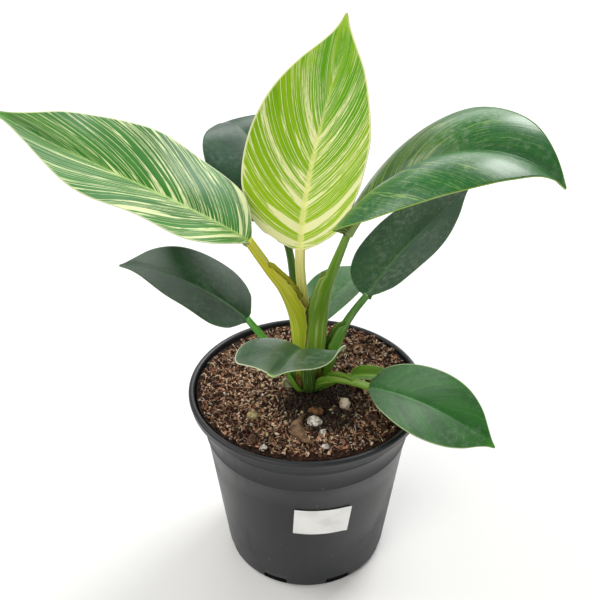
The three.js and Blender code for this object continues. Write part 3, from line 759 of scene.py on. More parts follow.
def midrib_amount(tree, places, look):
    """How much of each place is midrib: it narrows and fades towards the tip, with a ragged side."""
    width = map_to(tree, places.along, 0.0, 1.0, look["midrib_mm"], 0.25)
    ragged = maths(tree, "MULTIPLY", maths(tree, "SUBTRACT", places.noise(30, 40, 4.4), 0.5),
                   look["midrib_fray"])
    inside = maths(tree, "ADD", maths(tree, "DIVIDE", places.from_midrib, width), ragged)
    rib = map_to(tree, inside, 0.6, 1.3, look["midrib_share"], 0.0)
    fade = map_to(tree, places.along, look["midrib_fade"], 1.0, 1.0, look["midrib_end"])
    return maths(tree, "MULTIPLY", rib, fade)


def dust_film(tree, body, dust):
    """Dried spray and dust: clumps of about 2.4 mm in patches of about 17 mm, and single fine specks."""
    film = map_to(tree, grain(tree, body, 420, detail=4, roughness=0.7), 0.42, 0.72)
    patch = map_to(tree, grain(tree, body, 60, detail=2), 0.35, 0.65)
    film = maths(tree, "MULTIPLY", maths(tree, "MULTIPLY", film, patch), dust)
    speck = map_to(tree, grain(tree, body, 1300, detail=1), 0.69, 0.74, 0.0, dust)
    return maths(tree, "MAXIMUM", film, speck)


# %% Leaf material
PLAIN_LEAF = dict(
    ior=1.4, coat=0.0, coat_rough=0.2, ribs=120, rib_shade=0.4, young=None, streak=None, pale_foot=0.0,
    streak_at_tip=0.3, line_low=0.5, streak_share=1.0, far_lines=None, midrib_mm=1.1, midrib_fray=0.4,
    midrib_share=0.8, midrib_fade=0.3, midrib_end=0.3, margin_mm=0.6, margin_share=0.9, tip=None,
    rough=0.4, dust=0.0, dust_colour="#9aa59a", relief=0.25, margin=None)


def leaf_skin(name, own_look):
    """The skin of one blade side. own_look: what differs from a plain leaf."""
    look = PLAIN_LEAF | own_look
    material, tree, shader = new_material(
        name, ior=look["ior"], coat_weight=look["coat"], coat_roughness=look["coat_rough"])
    places = LeafPlaces(tree, look["seed"])
    clouds = map_to(tree, places.noise(1.3, 7, 5.5, 2.0), 0.35, 0.65)
    colour = blend_colours(tree, clouds, linear(look["green"]), linear(look["green_2"]))
    ribs = places.noise(1.5, look["ribs"], 3.7, 1.5)
    colour = blend_colours(tree, map_to(tree, ribs, 0.35, 0.7, 0, look["rib_shade"]), colour,
                           linear(look["green_3"]))
    if look["young"]:
        fresh = map_to(tree, places.along, 0.1, 0.6, 0.75, 0.0)
        colour = blend_colours(tree, fresh, colour, linear(look["young"]))
    if look["streak"]:
        colour = blend_colours(tree, pale_streaks(tree, places, look), colour, linear(look["streak"]))
    if look["far_lines"]:
        colour = young_far_half(tree, places, look, colour)
    colour = blend_colours(tree, midrib_amount(tree, places, look), colour, linear(look["midrib"]))
    if look["margin"]:
        edge = map_to(tree, places.to_margin, look["margin_mm"] * 0.4, look["margin_mm"],
                      look["margin_share"], 0.0)
        colour = blend_colours(tree, edge, colour, linear(look["margin"]))
    if look["tip"]:
        end = map_to(tree, places.along, 0.9, 1.0, 0.0, 0.85)
        colour = blend_colours(tree, end, colour, linear(look["tip"]))
    shader.inputs["Roughness"].default_value = look["rough"]
    if look["dust"]:
        film = dust_film(tree, places.body, look["dust"])
        colour = blend_colours(tree, film, colour, linear(look["dust_colour"]))
        spread = map_to(tree, film, 0.0, 0.5, look["rough"], min(0.9, look["rough"] + 0.25))
        tree.links.new(spread, shader.inputs["Roughness"])
    # the skin's cells are far finer than 1 mm, and are drawn this coarse so that they show
    cells = maths(tree, "MULTIPLY", grain(tree, places.body, 900, detail=1), 0.3)
    bump = add_node(tree, "ShaderNodeBump", {
        "Strength": look["relief"], "Distance": 0.25 * MM, "Height": maths(tree, "ADD", ribs, cells)})
    tree.links.new(colour, shader.inputs["Base Color"])
    tree.links.new(bump.outputs[0], shader.inputs["Normal"])
    return material


print("leaf material ready")

# %% The look of each leaf, upper side and underside
DARK = dict(green="#183820", green_2="#20462a", green_3="#122c18", margin="#5f8a42", margin_share=0.45,
            margin_mm=0.45, midrib="#44703c", midrib_share=0.5, midrib_mm=0.8, rough=0.36, coat=0.25,
            coat_rough=0.32, relief=0.2)
LOOKS = {
    # the centre leaf's bright yellow-green is partly its own young colour and partly painted light: the glow
    # of the lamp behind, shining through the blade
    "centre": dict(
        seed=1, young="#a6c80e", green="#93c000", green_2="#62a600", green_3="#559400",
        streak="#f1f2b4", band_rows=19, band_cut=0.715, line_rows=44, line_width=0.055,
        pale_foot=0.12, streak_at_tip=0.35, margin="#f2f2b8", margin_mm=1.1, midrib="#eef092",
        midrib_mm=1.5, midrib_share=0.75, midrib_fade=0.2, midrib_end=0.0, midrib_fray=1.4, rough=0.6,
        ior=1.28, relief=0.4, tip="#a4c83c", ribs=170, rib_shade=0.55),
    "left_striped": dict(
        seed=2, green="#3b8a22", green_2="#2a7624", green_3="#1c6216", streak="#e2edae", band_rows=24,
        band_cut=0.765, line_rows=40, line_width=0.042, pale_foot=0.07, line_low=0.55,
        streak_at_tip=0.55, ior=1.3, margin="#dfe8b4", margin_mm=0.8, midrib="#9cc44c", midrib_mm=0.9,
        midrib_share=0.8, midrib_end=0.5, rough=0.42, coat=0.15, tip="#559a28", ribs=170,
        rib_shade=0.5),
    "right_arched": dict(
        seed=3, green="#256f26", green_2="#1d6228", green_3="#175418", streak="#a4c864", band_rows=60,
        band_cut=0.9, line_rows=44, line_width=0.022, line_low=0.0, streak_share=0.5,
        streak_at_tip=0.2, margin="#94b040", margin_mm=0.5, midrib="#3f7f30", midrib_share=0.5,
        rough=0.34, coat=0.3, coat_rough=0.26, dust=0.25, dust_colour="#b4c4a8",
        far_lines="#93a840"),
    "front": dict(
        DARK, seed=4, green="#335f36", green_2="#2b5430", green_3="#254a28", margin="#cfdcae",
        margin_mm=0.7, margin_share=0.85, midrib="#4c7a48", dust=0.5, dust_colour="#a5b398",
        tip="#8fbf4c", rough=0.42, coat=0.1),
    "right_low": dict(
        DARK, seed=5, green="#1a5a12", green_2="#286a1c", green_3="#134a0e", margin="#b9d08c",
        margin_mm=0.5, margin_share=0.8, midrib="#3f7f34", tip="#3f8a26", dust=0.22, coat=0.05,
        rough=0.44),
    "right_dark": dict(
        DARK, seed=6, green="#224a2a", green_2="#2a5430", green_3="#193c22", dust=0.5,
        dust_colour="#84947c", margin="#5a8446", midrib="#4c7c40"),
    "left_dark": dict(
        DARK, seed=7, green="#16391a", green_2="#1d4522", green_3="#102c13", dust=0.3,
        dust_colour="#6f8f78", coat=0.12, rough=0.42),
    "back_dark": dict(DARK, seed=8, green="#1b4228", green_2="#224e30", green_3="#15341f", dust=0.25,
                      dust_colour="#7f9888"),
    "back_small": dict(
        DARK, seed=9, green="#4f7a50", green_2="#5a8658", green_3="#44693f", dust=0.5,
        dust_colour="#a9b8a0", margin="#7fa850", margin_share=0.7),
    "right_tiny": dict(
        seed=10, green="#62901a", green_2="#527f12", green_3="#476f10", margin="#8fae4c",
        margin_mm=0.3, midrib="#86b03c", rough=0.42, relief=0.25),
}
UNDER = dict(green="#5a8448", green_2="#4f7a3f", green_3="#436d34", midrib="#93ab62", midrib_mm=1.8,
             rough=0.6, relief=0.3, midrib_share=0.8)
UNDER_LOOKS = {
    "centre": dict(UNDER, green="#a3c04c", green_2="#93b43c", green_3="#84a630", streak="#eef2cc",
                   band_rows=19, band_cut=0.745, line_rows=44, line_width=0.055, pale_foot=0.1,
                   margin="#f2f4cc", margin_mm=1.1),
    "left_striped": dict(UNDER, green="#5a9040", green_2="#4c8438", green_3="#42782e", streak="#d5e2b2",
                         band_rows=24, band_cut=0.755, line_rows=46, line_width=0.05, pale_foot=0.07,
                         margin="#dfe8b4", margin_mm=0.8),
    "right_arched": dict(UNDER, green="#2f5a1c", green_2="#2a5218", green_3="#234814", streak="#b9cc5a",
                         band_rows=60, band_cut=0.9, line_rows=40, line_width=0.05, streak_share=0.8),
    "front": dict(UNDER, green="#7f9468", green_2="#74895e", green_3="#6a7f54", margin="#cfdcae"),
}

# %% Build the blades
blade_faces = 0
for leaf_name, leaf in LEAVES.items():
    upper = leaf_skin(f"waxy_leaf_upper_{leaf_name}", LOOKS[leaf_name])
    under_look = dict(UNDER_LOOKS.get(leaf_name, UNDER), seed=LOOKS[leaf_name]["seed"])
    under = leaf_skin(f"matt_leaf_underside_{leaf_name}", under_look)
    blade = build_blade(leaf_name, leaf, [upper, under])
    blade_faces += len(blade.data.polygons)
print("blade faces in all", blade_faces)

# %% [markdown]
# ## Stalks and their sheaths
# Each stalk is fleshy and slightly grooved on its upper side. Towards the foot it opens into a sheath: a
# gutter that wraps the younger stalks, with thin free edges that dry out reddish brown. A tube can't
# show that, so the section changes along the way, from a rounded D to an open gutter, on one closed
# loop of points. A grid rolled into that loop keeps the whole stalk one skin.

# %% Stalk sections
ROUND_SIDE = 115  # degrees each way from the keel that count as the outer side of the D
WALL_OF_SHEATH = 1.1  # mm
OUTER_SHARE = 0.62  # share of the loop that runs round the outer side
OPEN_WING = 1.8  # mm of free edge at which the section is all gutter


def d_section(place):
    """The rounded D, as shares of half width and depth; place runs 0 to 1 round the loop."""
    if place < OUTER_SHARE:
        angle = math.radians(ROUND_SIDE * (2 * place / OUTER_SHARE - 1))
        return math.sin(angle), -math.cos(angle)
    turn = math.pi * (place - OUTER_SHARE) / (1 - OUTER_SHARE)
    top = math.sin(turn)
    rim = math.cos(math.radians(180 - ROUND_SIDE))
    return math.sin(math.radians(ROUND_SIDE)) * math.cos(turn), rim + 0.25 * top - 0.3 * top ** 4


def gutter_section(place, across, deep, wing):
    """The open gutter in mm, with how far up its free edge each point is (0 to 1)."""
    outer = place < OUTER_SHARE
    side = 2 * place / OUTER_SHARE - 1 if outer else 1 - 2 * (place - OUTER_SHARE) / (1 - OUTER_SHARE)
    knee = 0.72
    hand = 1 if side >= 0 else -1
    inset = 0.0 if outer else WALL_OF_SHEATH
    if abs(side) > knee:
        up = (abs(side) - knee) / (1 - knee)
        thin = inset * (1 - 0.75 * up)
        return hand * (across - thin) * (1 - 0.16 * up * up), wing * up, up
    angle = math.pi / 2 * side / knee
    return (across - inset) * math.sin(angle), -(deep - inset) * math.cos(angle), 0.0


def stalk_point(leaf, route, share, place):
    """A point of the stalk's skin in mm, and how far up a sheath's free edge it is."""
    step = 0.004
    centre = catmull(route, share)
    tangent = (catmull(route, min(1, share + step)) - catmull(route, max(0, share - step))).normalized()
    up = blade_frame(leaf, 0)[2]
    inner = (up - tangent * up.dot(tangent)).normalized()
    sideways = tangent.cross(inner)
    across, deep = catmull(leaf["across"], share), catmull(leaf["deep"], share)
    wing = between(leaf["wing"], share)
    ragged = 1 + 0.16 * noise.noise(Vector((share * 30, place * 2, leaf["length"])))
    open_share = min(1.0, wing / OPEN_WING)
    open_share = open_share * open_share * (3 - 2 * open_share)
    round_x, round_y = d_section(place)
    gutter_x, gutter_y, edge = gutter_section(place, across, deep, wing * ragged)
    x = round_x * across * (1 - open_share) + gutter_x * open_share
    y = round_y * deep * (1 - open_share) + gutter_y * open_share
    return centre + sideways * x + inner * y, edge * open_share


STALK_LOOP = 40
STALK_ROWS = 64
STALK_FOOT = 7.0  # mm that each foot runs on into the mix


def build_stalk(name, leaf, material):
    """The stalk and its sheath as one skin: a grid rolled round the route, with its foot sunk."""
    top = blade_base(leaf) + blade_frame(leaf, 0)[0] * 0.5
    route = [Vector(p) + Vector((0, 0, PLANT_LEVEL)) for p in leaf["path"]] + [top]
    skin = bmesh.new()
    bmesh.ops.create_grid(skin, x_segments=STALK_LOOP, y_segments=STALK_ROWS, size=1)
    edge_layer = skin.verts.layers.float.new("dry_edge")
    share_layer = skin.verts.layers.float.new("up_stalk")
    uv_of = {}
    for vert in skin.verts:
        place, share = (vert.co.x + 1) / 2, (vert.co.y + 1) / 2
        point, edge = stalk_point(leaf, route, share, place % 1.0)
        vert[edge_layer] = edge
        vert[share_layer] = share
        uv_of[vert.index] = (place, share)
        vert.co = point * MM
    uv_layer = skin.loops.layers.uv.new("round_and_up")
    for face in skin.faces:
        for loop in face.loops:
            loop[uv_layer].uv = uv_of[loop.vert.index]
    bmesh.ops.remove_doubles(skin, verts=skin.verts, dist=0.02 * MM)
    foot = [edge for edge in skin.edges if edge.is_boundary and edge.verts[0][share_layer] < 0.5]
    sunk = bmesh.ops.extrude_edge_only(skin, edges=foot)["geom"]
    sunk_verts = [item for item in sunk if isinstance(item, bmesh.types.BMVert)]
    bmesh.ops.translate(skin, vec=(0, 0, -STALK_FOOT * MM), verts=sunk_verts)
    ends = [edge for edge in skin.edges if edge.is_boundary]
    bmesh.ops.holes_fill(skin, edges=ends, sides=0)
    bmesh.ops.recalc_face_normals(skin, faces=skin.faces)
    return finish_mesh(f"leaf_stalk_{name}", skin, material, [f"stalk_{name}"])


# %% Stalk skin


def stalk_skin(name, low, high):
    """Fleshy stem skin: fine lengthwise lines, paler or darker towards the blade, dry free edges."""
    material, tree, shader = new_material(name, ior=1.42, roughness=0.42, coat_weight=0.15,
                                          coat_roughness=0.35)
    wrap = add_node(tree, "ShaderNodeUVMap", uv_map="round_and_up").outputs[0]
    up_stalk = add_node(tree, "ShaderNodeAttribute", attribute_name="up_stalk").outputs["Fac"]
    dry_edge = add_node(tree, "ShaderNodeAttribute", attribute_name="dry_edge").outputs["Fac"]
    stretched = add_node(tree, "ShaderNodeMapping", {"Vector": wrap, "Scale": (46, 3.5, 1)}).outputs[0]
    lines = grain(tree, stretched, 1.0, detail=2, dimensions="2D")
    body = add_node(tree, "ShaderNodeTexCoord").outputs["Object"]
    colour = blend_colours(tree, map_to(tree, up_stalk, 0.1, 0.95), linear(low), linear(high))
    colour = blend_colours(tree, map_to(tree, lines, 0.4, 0.7, 0, 0.28), colour, linear("#4f7a1e"))
    colour = blend_colours(tree, map_to(tree, lines, 0.5, 0.25, 0, 0.3), colour, linear("#e2e6a0"))
    patchy = grain(tree, body, 260, detail=3)
    rim = maths(tree, "MULTIPLY", map_to(tree, dry_edge, 0.78, 0.98), map_to(tree, patchy, 0.34, 0.52))
    colour = blend_colours(tree, rim, colour, linear("#8f4f2c"))
    bump = add_node(tree, "ShaderNodeBump", {"Strength": 0.3, "Distance": 0.2 * MM, "Height": lines})
    tree.links.new(colour, shader.inputs["Base Color"])
    tree.links.new(bump.outputs[0], shader.inputs["Normal"])
    return material


STALK_COLOURS = {
    "centre": ("#ecea84", "#f8f29a"), "right_arched": ("#6f951a", "#5f8c14"),
    "left_striped": ("#9cba1c", "#dcd630"), "front": ("#2f5c14", "#2c5a1e"),
    "right_low": ("#4f8a1c", "#7ba82a"), "right_dark": ("#5f9420", "#3f7a26"),
    "left_dark": ("#5f9420", "#3f9a22"), "back_dark": ("#336414", "#285a18"),
    "back_small": ("#4f8024", "#447630"), "right_tiny": ("#5f9420", "#7faa28"),
}
stalk_faces = 0
for leaf_name, leaf in LEAVES.items():
    low, high = STALK_COLOURS[leaf_name]
    skin = stalk_skin(f"fleshy_stalk_skin_{leaf_name}", low, high)
    slot = "stem_pale" if leaf_name == "centre" else "stem"
    stalk_faces += len(build_stalk(leaf_name, leaf, skin).data.polygons)
print("stalk faces in all", stalk_faces)

# %% [markdown]
# ## Crown and dry bracts
# The crown is the short stem from which every stalk grows, ringed by old leaf scars. Thin bracts that once
# wrapped each new leaf stay behind as dry, papery scales. Both are small, so a spun stub and two cupped
# ovals are enough.

# %% Crown
crown_low, crown_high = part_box("crown")
crown_radius = (crown_high.x - crown_low.x) / 2 / MM
crown_middle = (crown_low + crown_high) / 2
crown_base, crown_top = crown_low.z / MM, crown_high.z / MM
CROWN_RINGS = 26
crown_profile = [(0, crown_base)]
for ring in range(CROWN_RINGS + 1):
    share = ring / CROWN_RINGS
    swell = 0.35 * math.sin(share * 40)  # leaf scars about 3.6 mm apart
    end_round = math.sqrt(max(0.0, 1 - max(0.0, (abs(share - 0.5) - 0.34) / 0.16) ** 2))
    crown_profile.append(((crown_radius - 0.3 + swell) * max(0.12, end_round),
                          crown_base + (crown_top - crown_base) * share))
crown_profile.append((0, crown_top))
crown_mesh = spin_profile(crown_profile, 40)
bmesh.ops.translate(crown_mesh, vec=(crown_middle.x, crown_middle.y, 0), verts=crown_mesh.verts)
for vert in crown_mesh.verts:
    vert.co.x += 0.3 * MM * noise.noise(vert.co * 600)
    vert.co.y += 0.3 * MM * noise.noise(vert.co * 600 + Vector((7, 3, 1)))


def old_stem():
    """Old stem: green above, brown where it meets the mix, with cork on it."""
    material, tree, shader = new_material("corky_green_stem", roughness=0.7, ior=1.45)
    place = add_node(tree, "ShaderNodeTexCoord").outputs["Object"]
    height = add_node(tree, "ShaderNodeSeparateXYZ", {0: place}).outputs["Z"]
    up = map_to(tree, height, PLANT_LEVEL * MM, (PLANT_LEVEL + 7) * MM)
    colour = blend_colours(tree, up, linear("#3a2a1c"), linear("#4f6a2a"))
    cork = map_to(tree, grain(tree, place, 700, detail=3), 0.45, 0.65, 0, 0.7)
    colour = blend_colours(tree, cork, colour, linear("#6a5234"))
    tree.links.new(colour, shader.inputs["Base Color"])
    return material


finish_mesh("crown_stub", crown_mesh, old_stem(), ["crown"])

# %% Dry papery tissue


def papery(name, colour_low, colour_high, thread=500):
    """Dead leaf tissue: brown, matt, with darker threads along it."""
    material, tree, shader = new_material(name, roughness=0.85, ior=1.4)
    place = add_node(tree, "ShaderNodeTexCoord").outputs["Object"]
    mottled = grain(tree, place, 180, detail=4, roughness=0.65)
    threads = grain(tree, place, thread, detail=2)
    colour = blend_colours(tree, map_to(tree, mottled, 0.35, 0.65), linear(colour_low), linear(colour_high))
    colour = blend_colours(tree, map_to(tree, threads, 0.5, 0.62, 0, 0.5), colour, linear("#3a2618"))
    bump = add_node(tree, "ShaderNodeBump", {"Strength": 0.6, "Distance": 0.4 * MM, "Height": mottled})
    tree.links.new(colour, shader.inputs["Base Color"])
    tree.links.new(bump.outputs[0], shader.inputs["Normal"])
    return material


SCALE_CUP = math.radians(34)  # each half bends round by this


def build_scale(name, place, length, width, lean, turn, material):
    """A cupped, pointed scale standing at a place, with its outer side to the front before its turn."""
    scale = bmesh.new()
    bmesh.ops.create_grid(scale, x_segments=12, y_segments=28, size=1)
    for vert in scale.verts:
        share = (vert.co.y + 1) / 2
        half = width / 2 * math.sqrt(max(0.0, math.sin(math.pi * (0.12 + 0.88 * share)))) + 0.05
        bend = vert.co.x * SCALE_CUP
        radius = width / 2 / SCALE_CUP
        crumple = 0.4 * noise.noise(Vector((vert.co.x * 2, share * 7, width)))
        vert.co = Vector((math.sin(bend) * radius * half / (width / 2),
                          radius * (1 - math.cos(bend)) + crumple, share * length)) * MM
    bmesh.ops.solidify(scale, geom=scale.faces[:], thickness=0.3 * MM)
    bmesh.ops.recalc_face_normals(scale, faces=scale.faces)
    upright = Matrix.Rotation(math.radians(turn), 4, "Z") @ Matrix.Rotation(math.radians(lean), 4, "X")
    move = Matrix.Translation(Vector((place[0], place[1], place[2] + PLANT_LEVEL)) * MM)
    bmesh.ops.transform(scale, matrix=move @ upright, verts=scale.verts)
    return finish_mesh(f"dry_{name}", scale, material, [name])


bract_paper = papery("dry_papery_bract", "#5f4424", "#8a6a38")
build_scale("bract_right", (5.4, -5, 8.5), 11, 3.2, 6, 28, bract_paper)
build_scale("bract_left", (-3.8, -6.2, 8), 11, 2.8, 6, -20, bract_paper)
print("crown and bracts done")

# %% [markdown]
# ## Potting mix
# The mix is peat and coconut fibre with perlite and bark. Close up it isn't a surface at all but a heap
# of separate crumbs and shreds with dark gaps between them. So it is built in three layers: a lumpy
# body of soil, about eight thousand crumbs and shreds lying on it, each with its own shade, and the larger
# named pieces bedded in between. Each crumb has few faces, because there are thousands.

# %% Soil body
SOIL_SEED = 11
soil_low, soil_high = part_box("soil")
SOIL_RADIUS = soil_high.x / MM
SOIL_RINGS = 84
SOIL_STEPS = 200
RIM_EASE = 3.0  # mm from the pot within which the clods flatten


def mound(x, y, middle, reach):
    """A smooth round weight: 1 at its middle and fading over its reach, all in mm."""
    return math.exp(-((x - middle[0]) / reach[0]) ** 2 - ((y - middle[1]) / reach[1]) ** 2)


def soil_relief(x, y):
    """Height of the mix above its level, in mm: a hollow at the stem, heaps behind and along the front."""
    stem_hollow = -1.9 * mound(x, y, (8, -14), (13, 8)) - 0.6 * mound(x, y, (1.2, 0.6), (8, 8))
    heap = 2.6 * mound(x, y, (22, 38), (18, 13)) + 2.0 * mound(x, y, (2, -48), (34, 7))
    settled = -1.5 * mound(x, y, (-36, 33), (12, 14))
    return stem_hollow + heap + settled


def soil_lump(x, y):
    """The relief with clods of every size on it."""
    place = Vector((x, y, SOIL_SEED))
    lumps = 1.6 * noise.noise(place / 8) + 1.4 * noise.noise(place / 3.6) + 1.1 * noise.noise(place / 1.9)
    return soil_relief(x, y) + lumps


under_ledge = wall_top + WALL - 0.3
soil_profile = [(0, SOIL_LEVEL)]
ring_width = (SOIL_RADIUS - 0.4) / SOIL_RINGS
soil_profile += [(0.2 + ring_width * ring, SOIL_LEVEL) for ring in range(SOIL_RINGS + 1)]
soil_profile += [(SOIL_RADIUS - 0.2, wall_top + WALL + 0.3)]
soil_profile += [(wall_radius(z) - WALL - 0.6, z) for z in (under_ledge, 60, 30, 8)]
soil_profile += [(wall_radius(3) - WALL - 5, soil_low.z / MM), (0, soil_low.z / MM)]
soil_mesh = spin_profile(soil_profile, SOIL_STEPS)
for vert in soil_mesh.verts:
    if vert.co.z > (SOIL_LEVEL - 0.5) * MM:
        x, y = vert.co.x / MM, vert.co.y / MM
        ease = min(1.0, (SOIL_RADIUS - math.hypot(x, y)) / RIM_EASE)
        vert.co.z = (SOIL_LEVEL + soil_lump(x, y) * (0.5 + 0.5 * max(0.0, ease))) * MM
bmesh.ops.recalc_face_normals(soil_mesh, faces=soil_mesh.faces)


def peat():
    """Moist peat and coconut fibre: nearly black where it is damp, brown crumbs where it has dried."""
    material, tree, shader = new_material("moist_peat_and_coir", roughness=0.95, ior=1.35)
    place = add_node(tree, "ShaderNodeTexCoord").outputs["Object"]
    damp = map_to(tree, grain(tree, place, 45, detail=2), 0.38, 0.6)
    colour = blend_colours(tree, damp, linear("#140d09"), linear("#2a1b14"))
    crumbs = map_to(tree, grain(tree, place, 900, detail=4, roughness=0.7), 0.45, 0.66)
    colour = blend_colours(tree, crumbs, colour, linear("#5a3d2c"))
    bump = add_node(tree, "ShaderNodeBump", {
        "Strength": 0.9, "Distance": 1.0 * MM, "Height": grain(tree, place, 1100, detail=5)})
    tree.links.new(colour, shader.inputs["Base Color"])
    tree.links.new(bump.outputs[0], shader.inputs["Normal"])
    return material


finish_mesh("soil_body", soil_mesh, peat(), ["soil"])

# %% Strew small bits over the soil
# A few hundred bits are made one by one, each with its own shade. That batch is then copied onto itself
# with a turn, again and again, and at the end every vertex is raised to the soil under it.
TURN_OF_COPIES = (97, 41, 173, 23)  # degrees, one for each doubling
shuffle = random.Random(SOIL_SEED)


def scattered_place(margin):
    """A random place on the soil, clear of the stem, in mm."""
    radius = math.sqrt(shuffle.uniform(6.5 ** 2, (SOIL_RADIUS - margin) ** 2))
    angle = shuffle.uniform(0, math.tau)
    return radius * math.cos(angle), radius * math.sin(angle)


def strew(batch, doublings, across, long, thick, shades, kind, margin=1.4):
    """Makes a batch of bits and doubles it. Sizes are half sizes in mm, each a low and a high."""
    heap = bmesh.new()
    shade = heap.verts.layers.float.new("shade")
    for _ in range(batch):
        x, y = scattered_place(margin)
        size = [shuffle.uniform(*span) for span in (across, long, thick)]
        lean = (Matrix.Rotation(shuffle.gauss(0, 0.35), 4, "X")
                @ Matrix.Rotation(shuffle.gauss(0, 0.35), 4, "Y"))
        matrix = (Matrix.Translation(Vector((x, y, shuffle.uniform(0.1, 0.8))) * MM)
                  @ Matrix.Rotation(shuffle.uniform(0, math.tau), 4, "Z") @ lean
                  @ Matrix.Diagonal((size[0] * MM, size[1] * MM, size[2] * MM, 1)))
        if kind == "crumb":
            made = bmesh.ops.create_icosphere(heap, subdivisions=1, radius=1, matrix=matrix)
        else:
            made = bmesh.ops.create_cone(heap, cap_ends=True, segments=4, radius1=1, radius2=0.4, depth=2,
                                         matrix=matrix @ Matrix.Rotation(math.radians(90), 4, "X"))
        tone = shuffle.uniform(*shades)
        for vert in made["verts"]:
            vert[shade] = tone
            vert.co += Vector([shuffle.uniform(-0.1, 0.1) * MM for _ in range(3)])
    for turn in TURN_OF_COPIES[:doublings]:
        copy = bmesh.ops.duplicate(heap, geom=heap.verts[:] + heap.edges[:] + heap.faces[:])["geom"]
        verts = [item for item in copy if isinstance(item, bmesh.types.BMVert)]
        about_pot = Matrix.Rotation(math.radians(turn), 3, "Z")
        bmesh.ops.rotate(heap, cent=(0, 0, 0), matrix=about_pot, verts=verts)
    for vert in heap.verts:
        vert.co.z += (SOIL_LEVEL + soil_lump(vert.co.x / MM, vert.co.y / MM)) * MM
    bmesh.ops.recalc_face_normals(heap, faces=heap.faces)
    return heap


# %% Crumbs and shreds
# Coconut fibre is reddish brown when moist and tan where it has dried, and peat is nearly black.
# painted shade: the crumbs and shreds are darkened nearly to black in the hollow in front of the stem, under
# the leaves
HOLLOW_SHADE_MIDDLE = Vector((7, -14, SOIL_LEVEL - 3)) * MM
HOLLOW_SHADE_INSIDE, HOLLOW_SHADE_OUTSIDE, HOLLOW_SHADE_RAGGED = 24 * MM, 36 * MM, 22 * MM
MIX_BATCH, MIX_DOUBLINGS = 260, 4


def loose_mix(name, stops):
    """One material for many bits, coloured by each bit's own tone; painted shade darkens the hollow."""
    material, tree, shader = new_material(name, roughness=0.9, ior=1.4)
    shade = add_node(tree, "ShaderNodeAttribute", attribute_name="shade").outputs["Fac"]
    ramp = add_node(tree, "ShaderNodeValToRGB", {"Fac": shade})
    ramp.color_ramp.elements[0].position, ramp.color_ramp.elements[0].color = 0, linear(stops[0])
    ramp.color_ramp.elements[1].position, ramp.color_ramp.elements[1].color = 1, linear(stops[-1])
    for i, stop in enumerate(stops[1:-1], 1):
        ramp.color_ramp.elements.new(i / (len(stops) - 1)).color = linear(stop)
    place = add_node(tree, "ShaderNodeTexCoord").outputs["Object"]
    mottle = map_to(tree, grain(tree, place, 700, detail=3), 0.42, 0.58, 0, 0.75)
    colour = blend_colours(tree, mottle, ramp.outputs[0], linear("#1c120c"))
    from_hollow = add_node(tree, "ShaderNodeVectorMath", {0: place, 1: HOLLOW_SHADE_MIDDLE},
                           operation="DISTANCE").outputs["Value"]
    uneven = maths(tree, "MULTIPLY", grain(tree, place, 130), HOLLOW_SHADE_RAGGED)
    # painted shade of the hollow, 0.9 at its middle and none beyond its outer reach
    painted_hollow_shade = map_to(tree, maths(tree, "ADD", from_hollow, uneven), HOLLOW_SHADE_INSIDE, HOLLOW_SHADE_OUTSIDE, 0.9, 0.0)
    colour = blend_colours(tree, painted_hollow_shade, colour, linear("#120c08"))
    tree.links.new(colour, shader.inputs["Base Color"])
    return material


coir = loose_mix("coconut_fibre_and_peat_crumbs", [
    "#0d0806", "#20130e", "#593626", "#855640", "#b28162", "#d4a683", "#eccdae", "#fff0da"])
crumbs = strew(MIX_BATCH, MIX_DOUBLINGS, (0.35, 0.9), (0.5, 1.3), (0.25, 0.55), (0.0, 0.95), "crumb")
print("crumb faces", len(crumbs.faces))
finish_mesh("soil_crumbs", crumbs, coir, ["soil"], smooth=False)
shreds = strew(MIX_BATCH, MIX_DOUBLINGS, (0.16, 0.34), (0.7, 2.2), (0.14, 0.28), (0.25, 1.0), "shred",
               margin=2.2)
print("shred faces", len(shreds.faces))
finish_mesh("soil_shreds", shreds, coir, ["soil"], smooth=False)

# %% [markdown]
# ## Perlite, pebbles and bark
# The larger pieces have their own places in the frame. Each starts as a fine ball squeezed to the size of
# its CAD solid and is then worn by noise: perlite puffs into knobs, a pebble stays smooth, and bark
# splits into flat plates. They are set about half a millimetre into the mix, as if they were watered in.

# %% Lumps
BEDDED = 0.6  # mm


def stone_like(name, pale, dark, scale, bump_strength=0.5):
    """A dull mineral or bark: two shades in spots, with the spots standing up a little."""
    material, tree, shader = new_material(name, roughness=0.9, ior=1.5)
    place = add_node(tree, "ShaderNodeTexCoord").outputs["Object"]
    spots = grain(tree, place, scale, detail=4, roughness=0.6)
    colour = blend_colours(tree, map_to(tree, spots, 0.38, 0.62), linear(dark), linear(pale))
    bump = add_node(tree, "ShaderNodeBump", {
        "Strength": bump_strength, "Distance": 0.5 * MM, "Height": spots})
    tree.links.new(colour, shader.inputs["Base Color"])
    tree.links.new(bump.outputs[0], shader.inputs["Normal"])
    return material


def build_lump(name, material, knobs, flat):
    """A ball squeezed into its solid's box, worn into knobs and flattened by a share."""
    low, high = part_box(name)
    middle, half = (low + high) / 2, (high - low) / 2
    lump = bmesh.new()
    bmesh.ops.create_icosphere(lump, subdivisions=4, radius=1)
    for vert in lump.verts:
        way = vert.co.normalized()
        worn = 1 + knobs * (noise.noise(way * 1.7 + middle * 900) + 0.5 * noise.noise(way * 4 + middle * 500))
        vert.co = Vector((way.x * half.x * worn, way.y * half.y * worn, way.z * half.z * worn * flat))
        vert.co += middle + Vector((0, 0, (soil_relief(middle.x / MM, middle.y / MM) - BEDDED) * MM))
    return finish_mesh(f"{name}_lump", lump, material, [name])


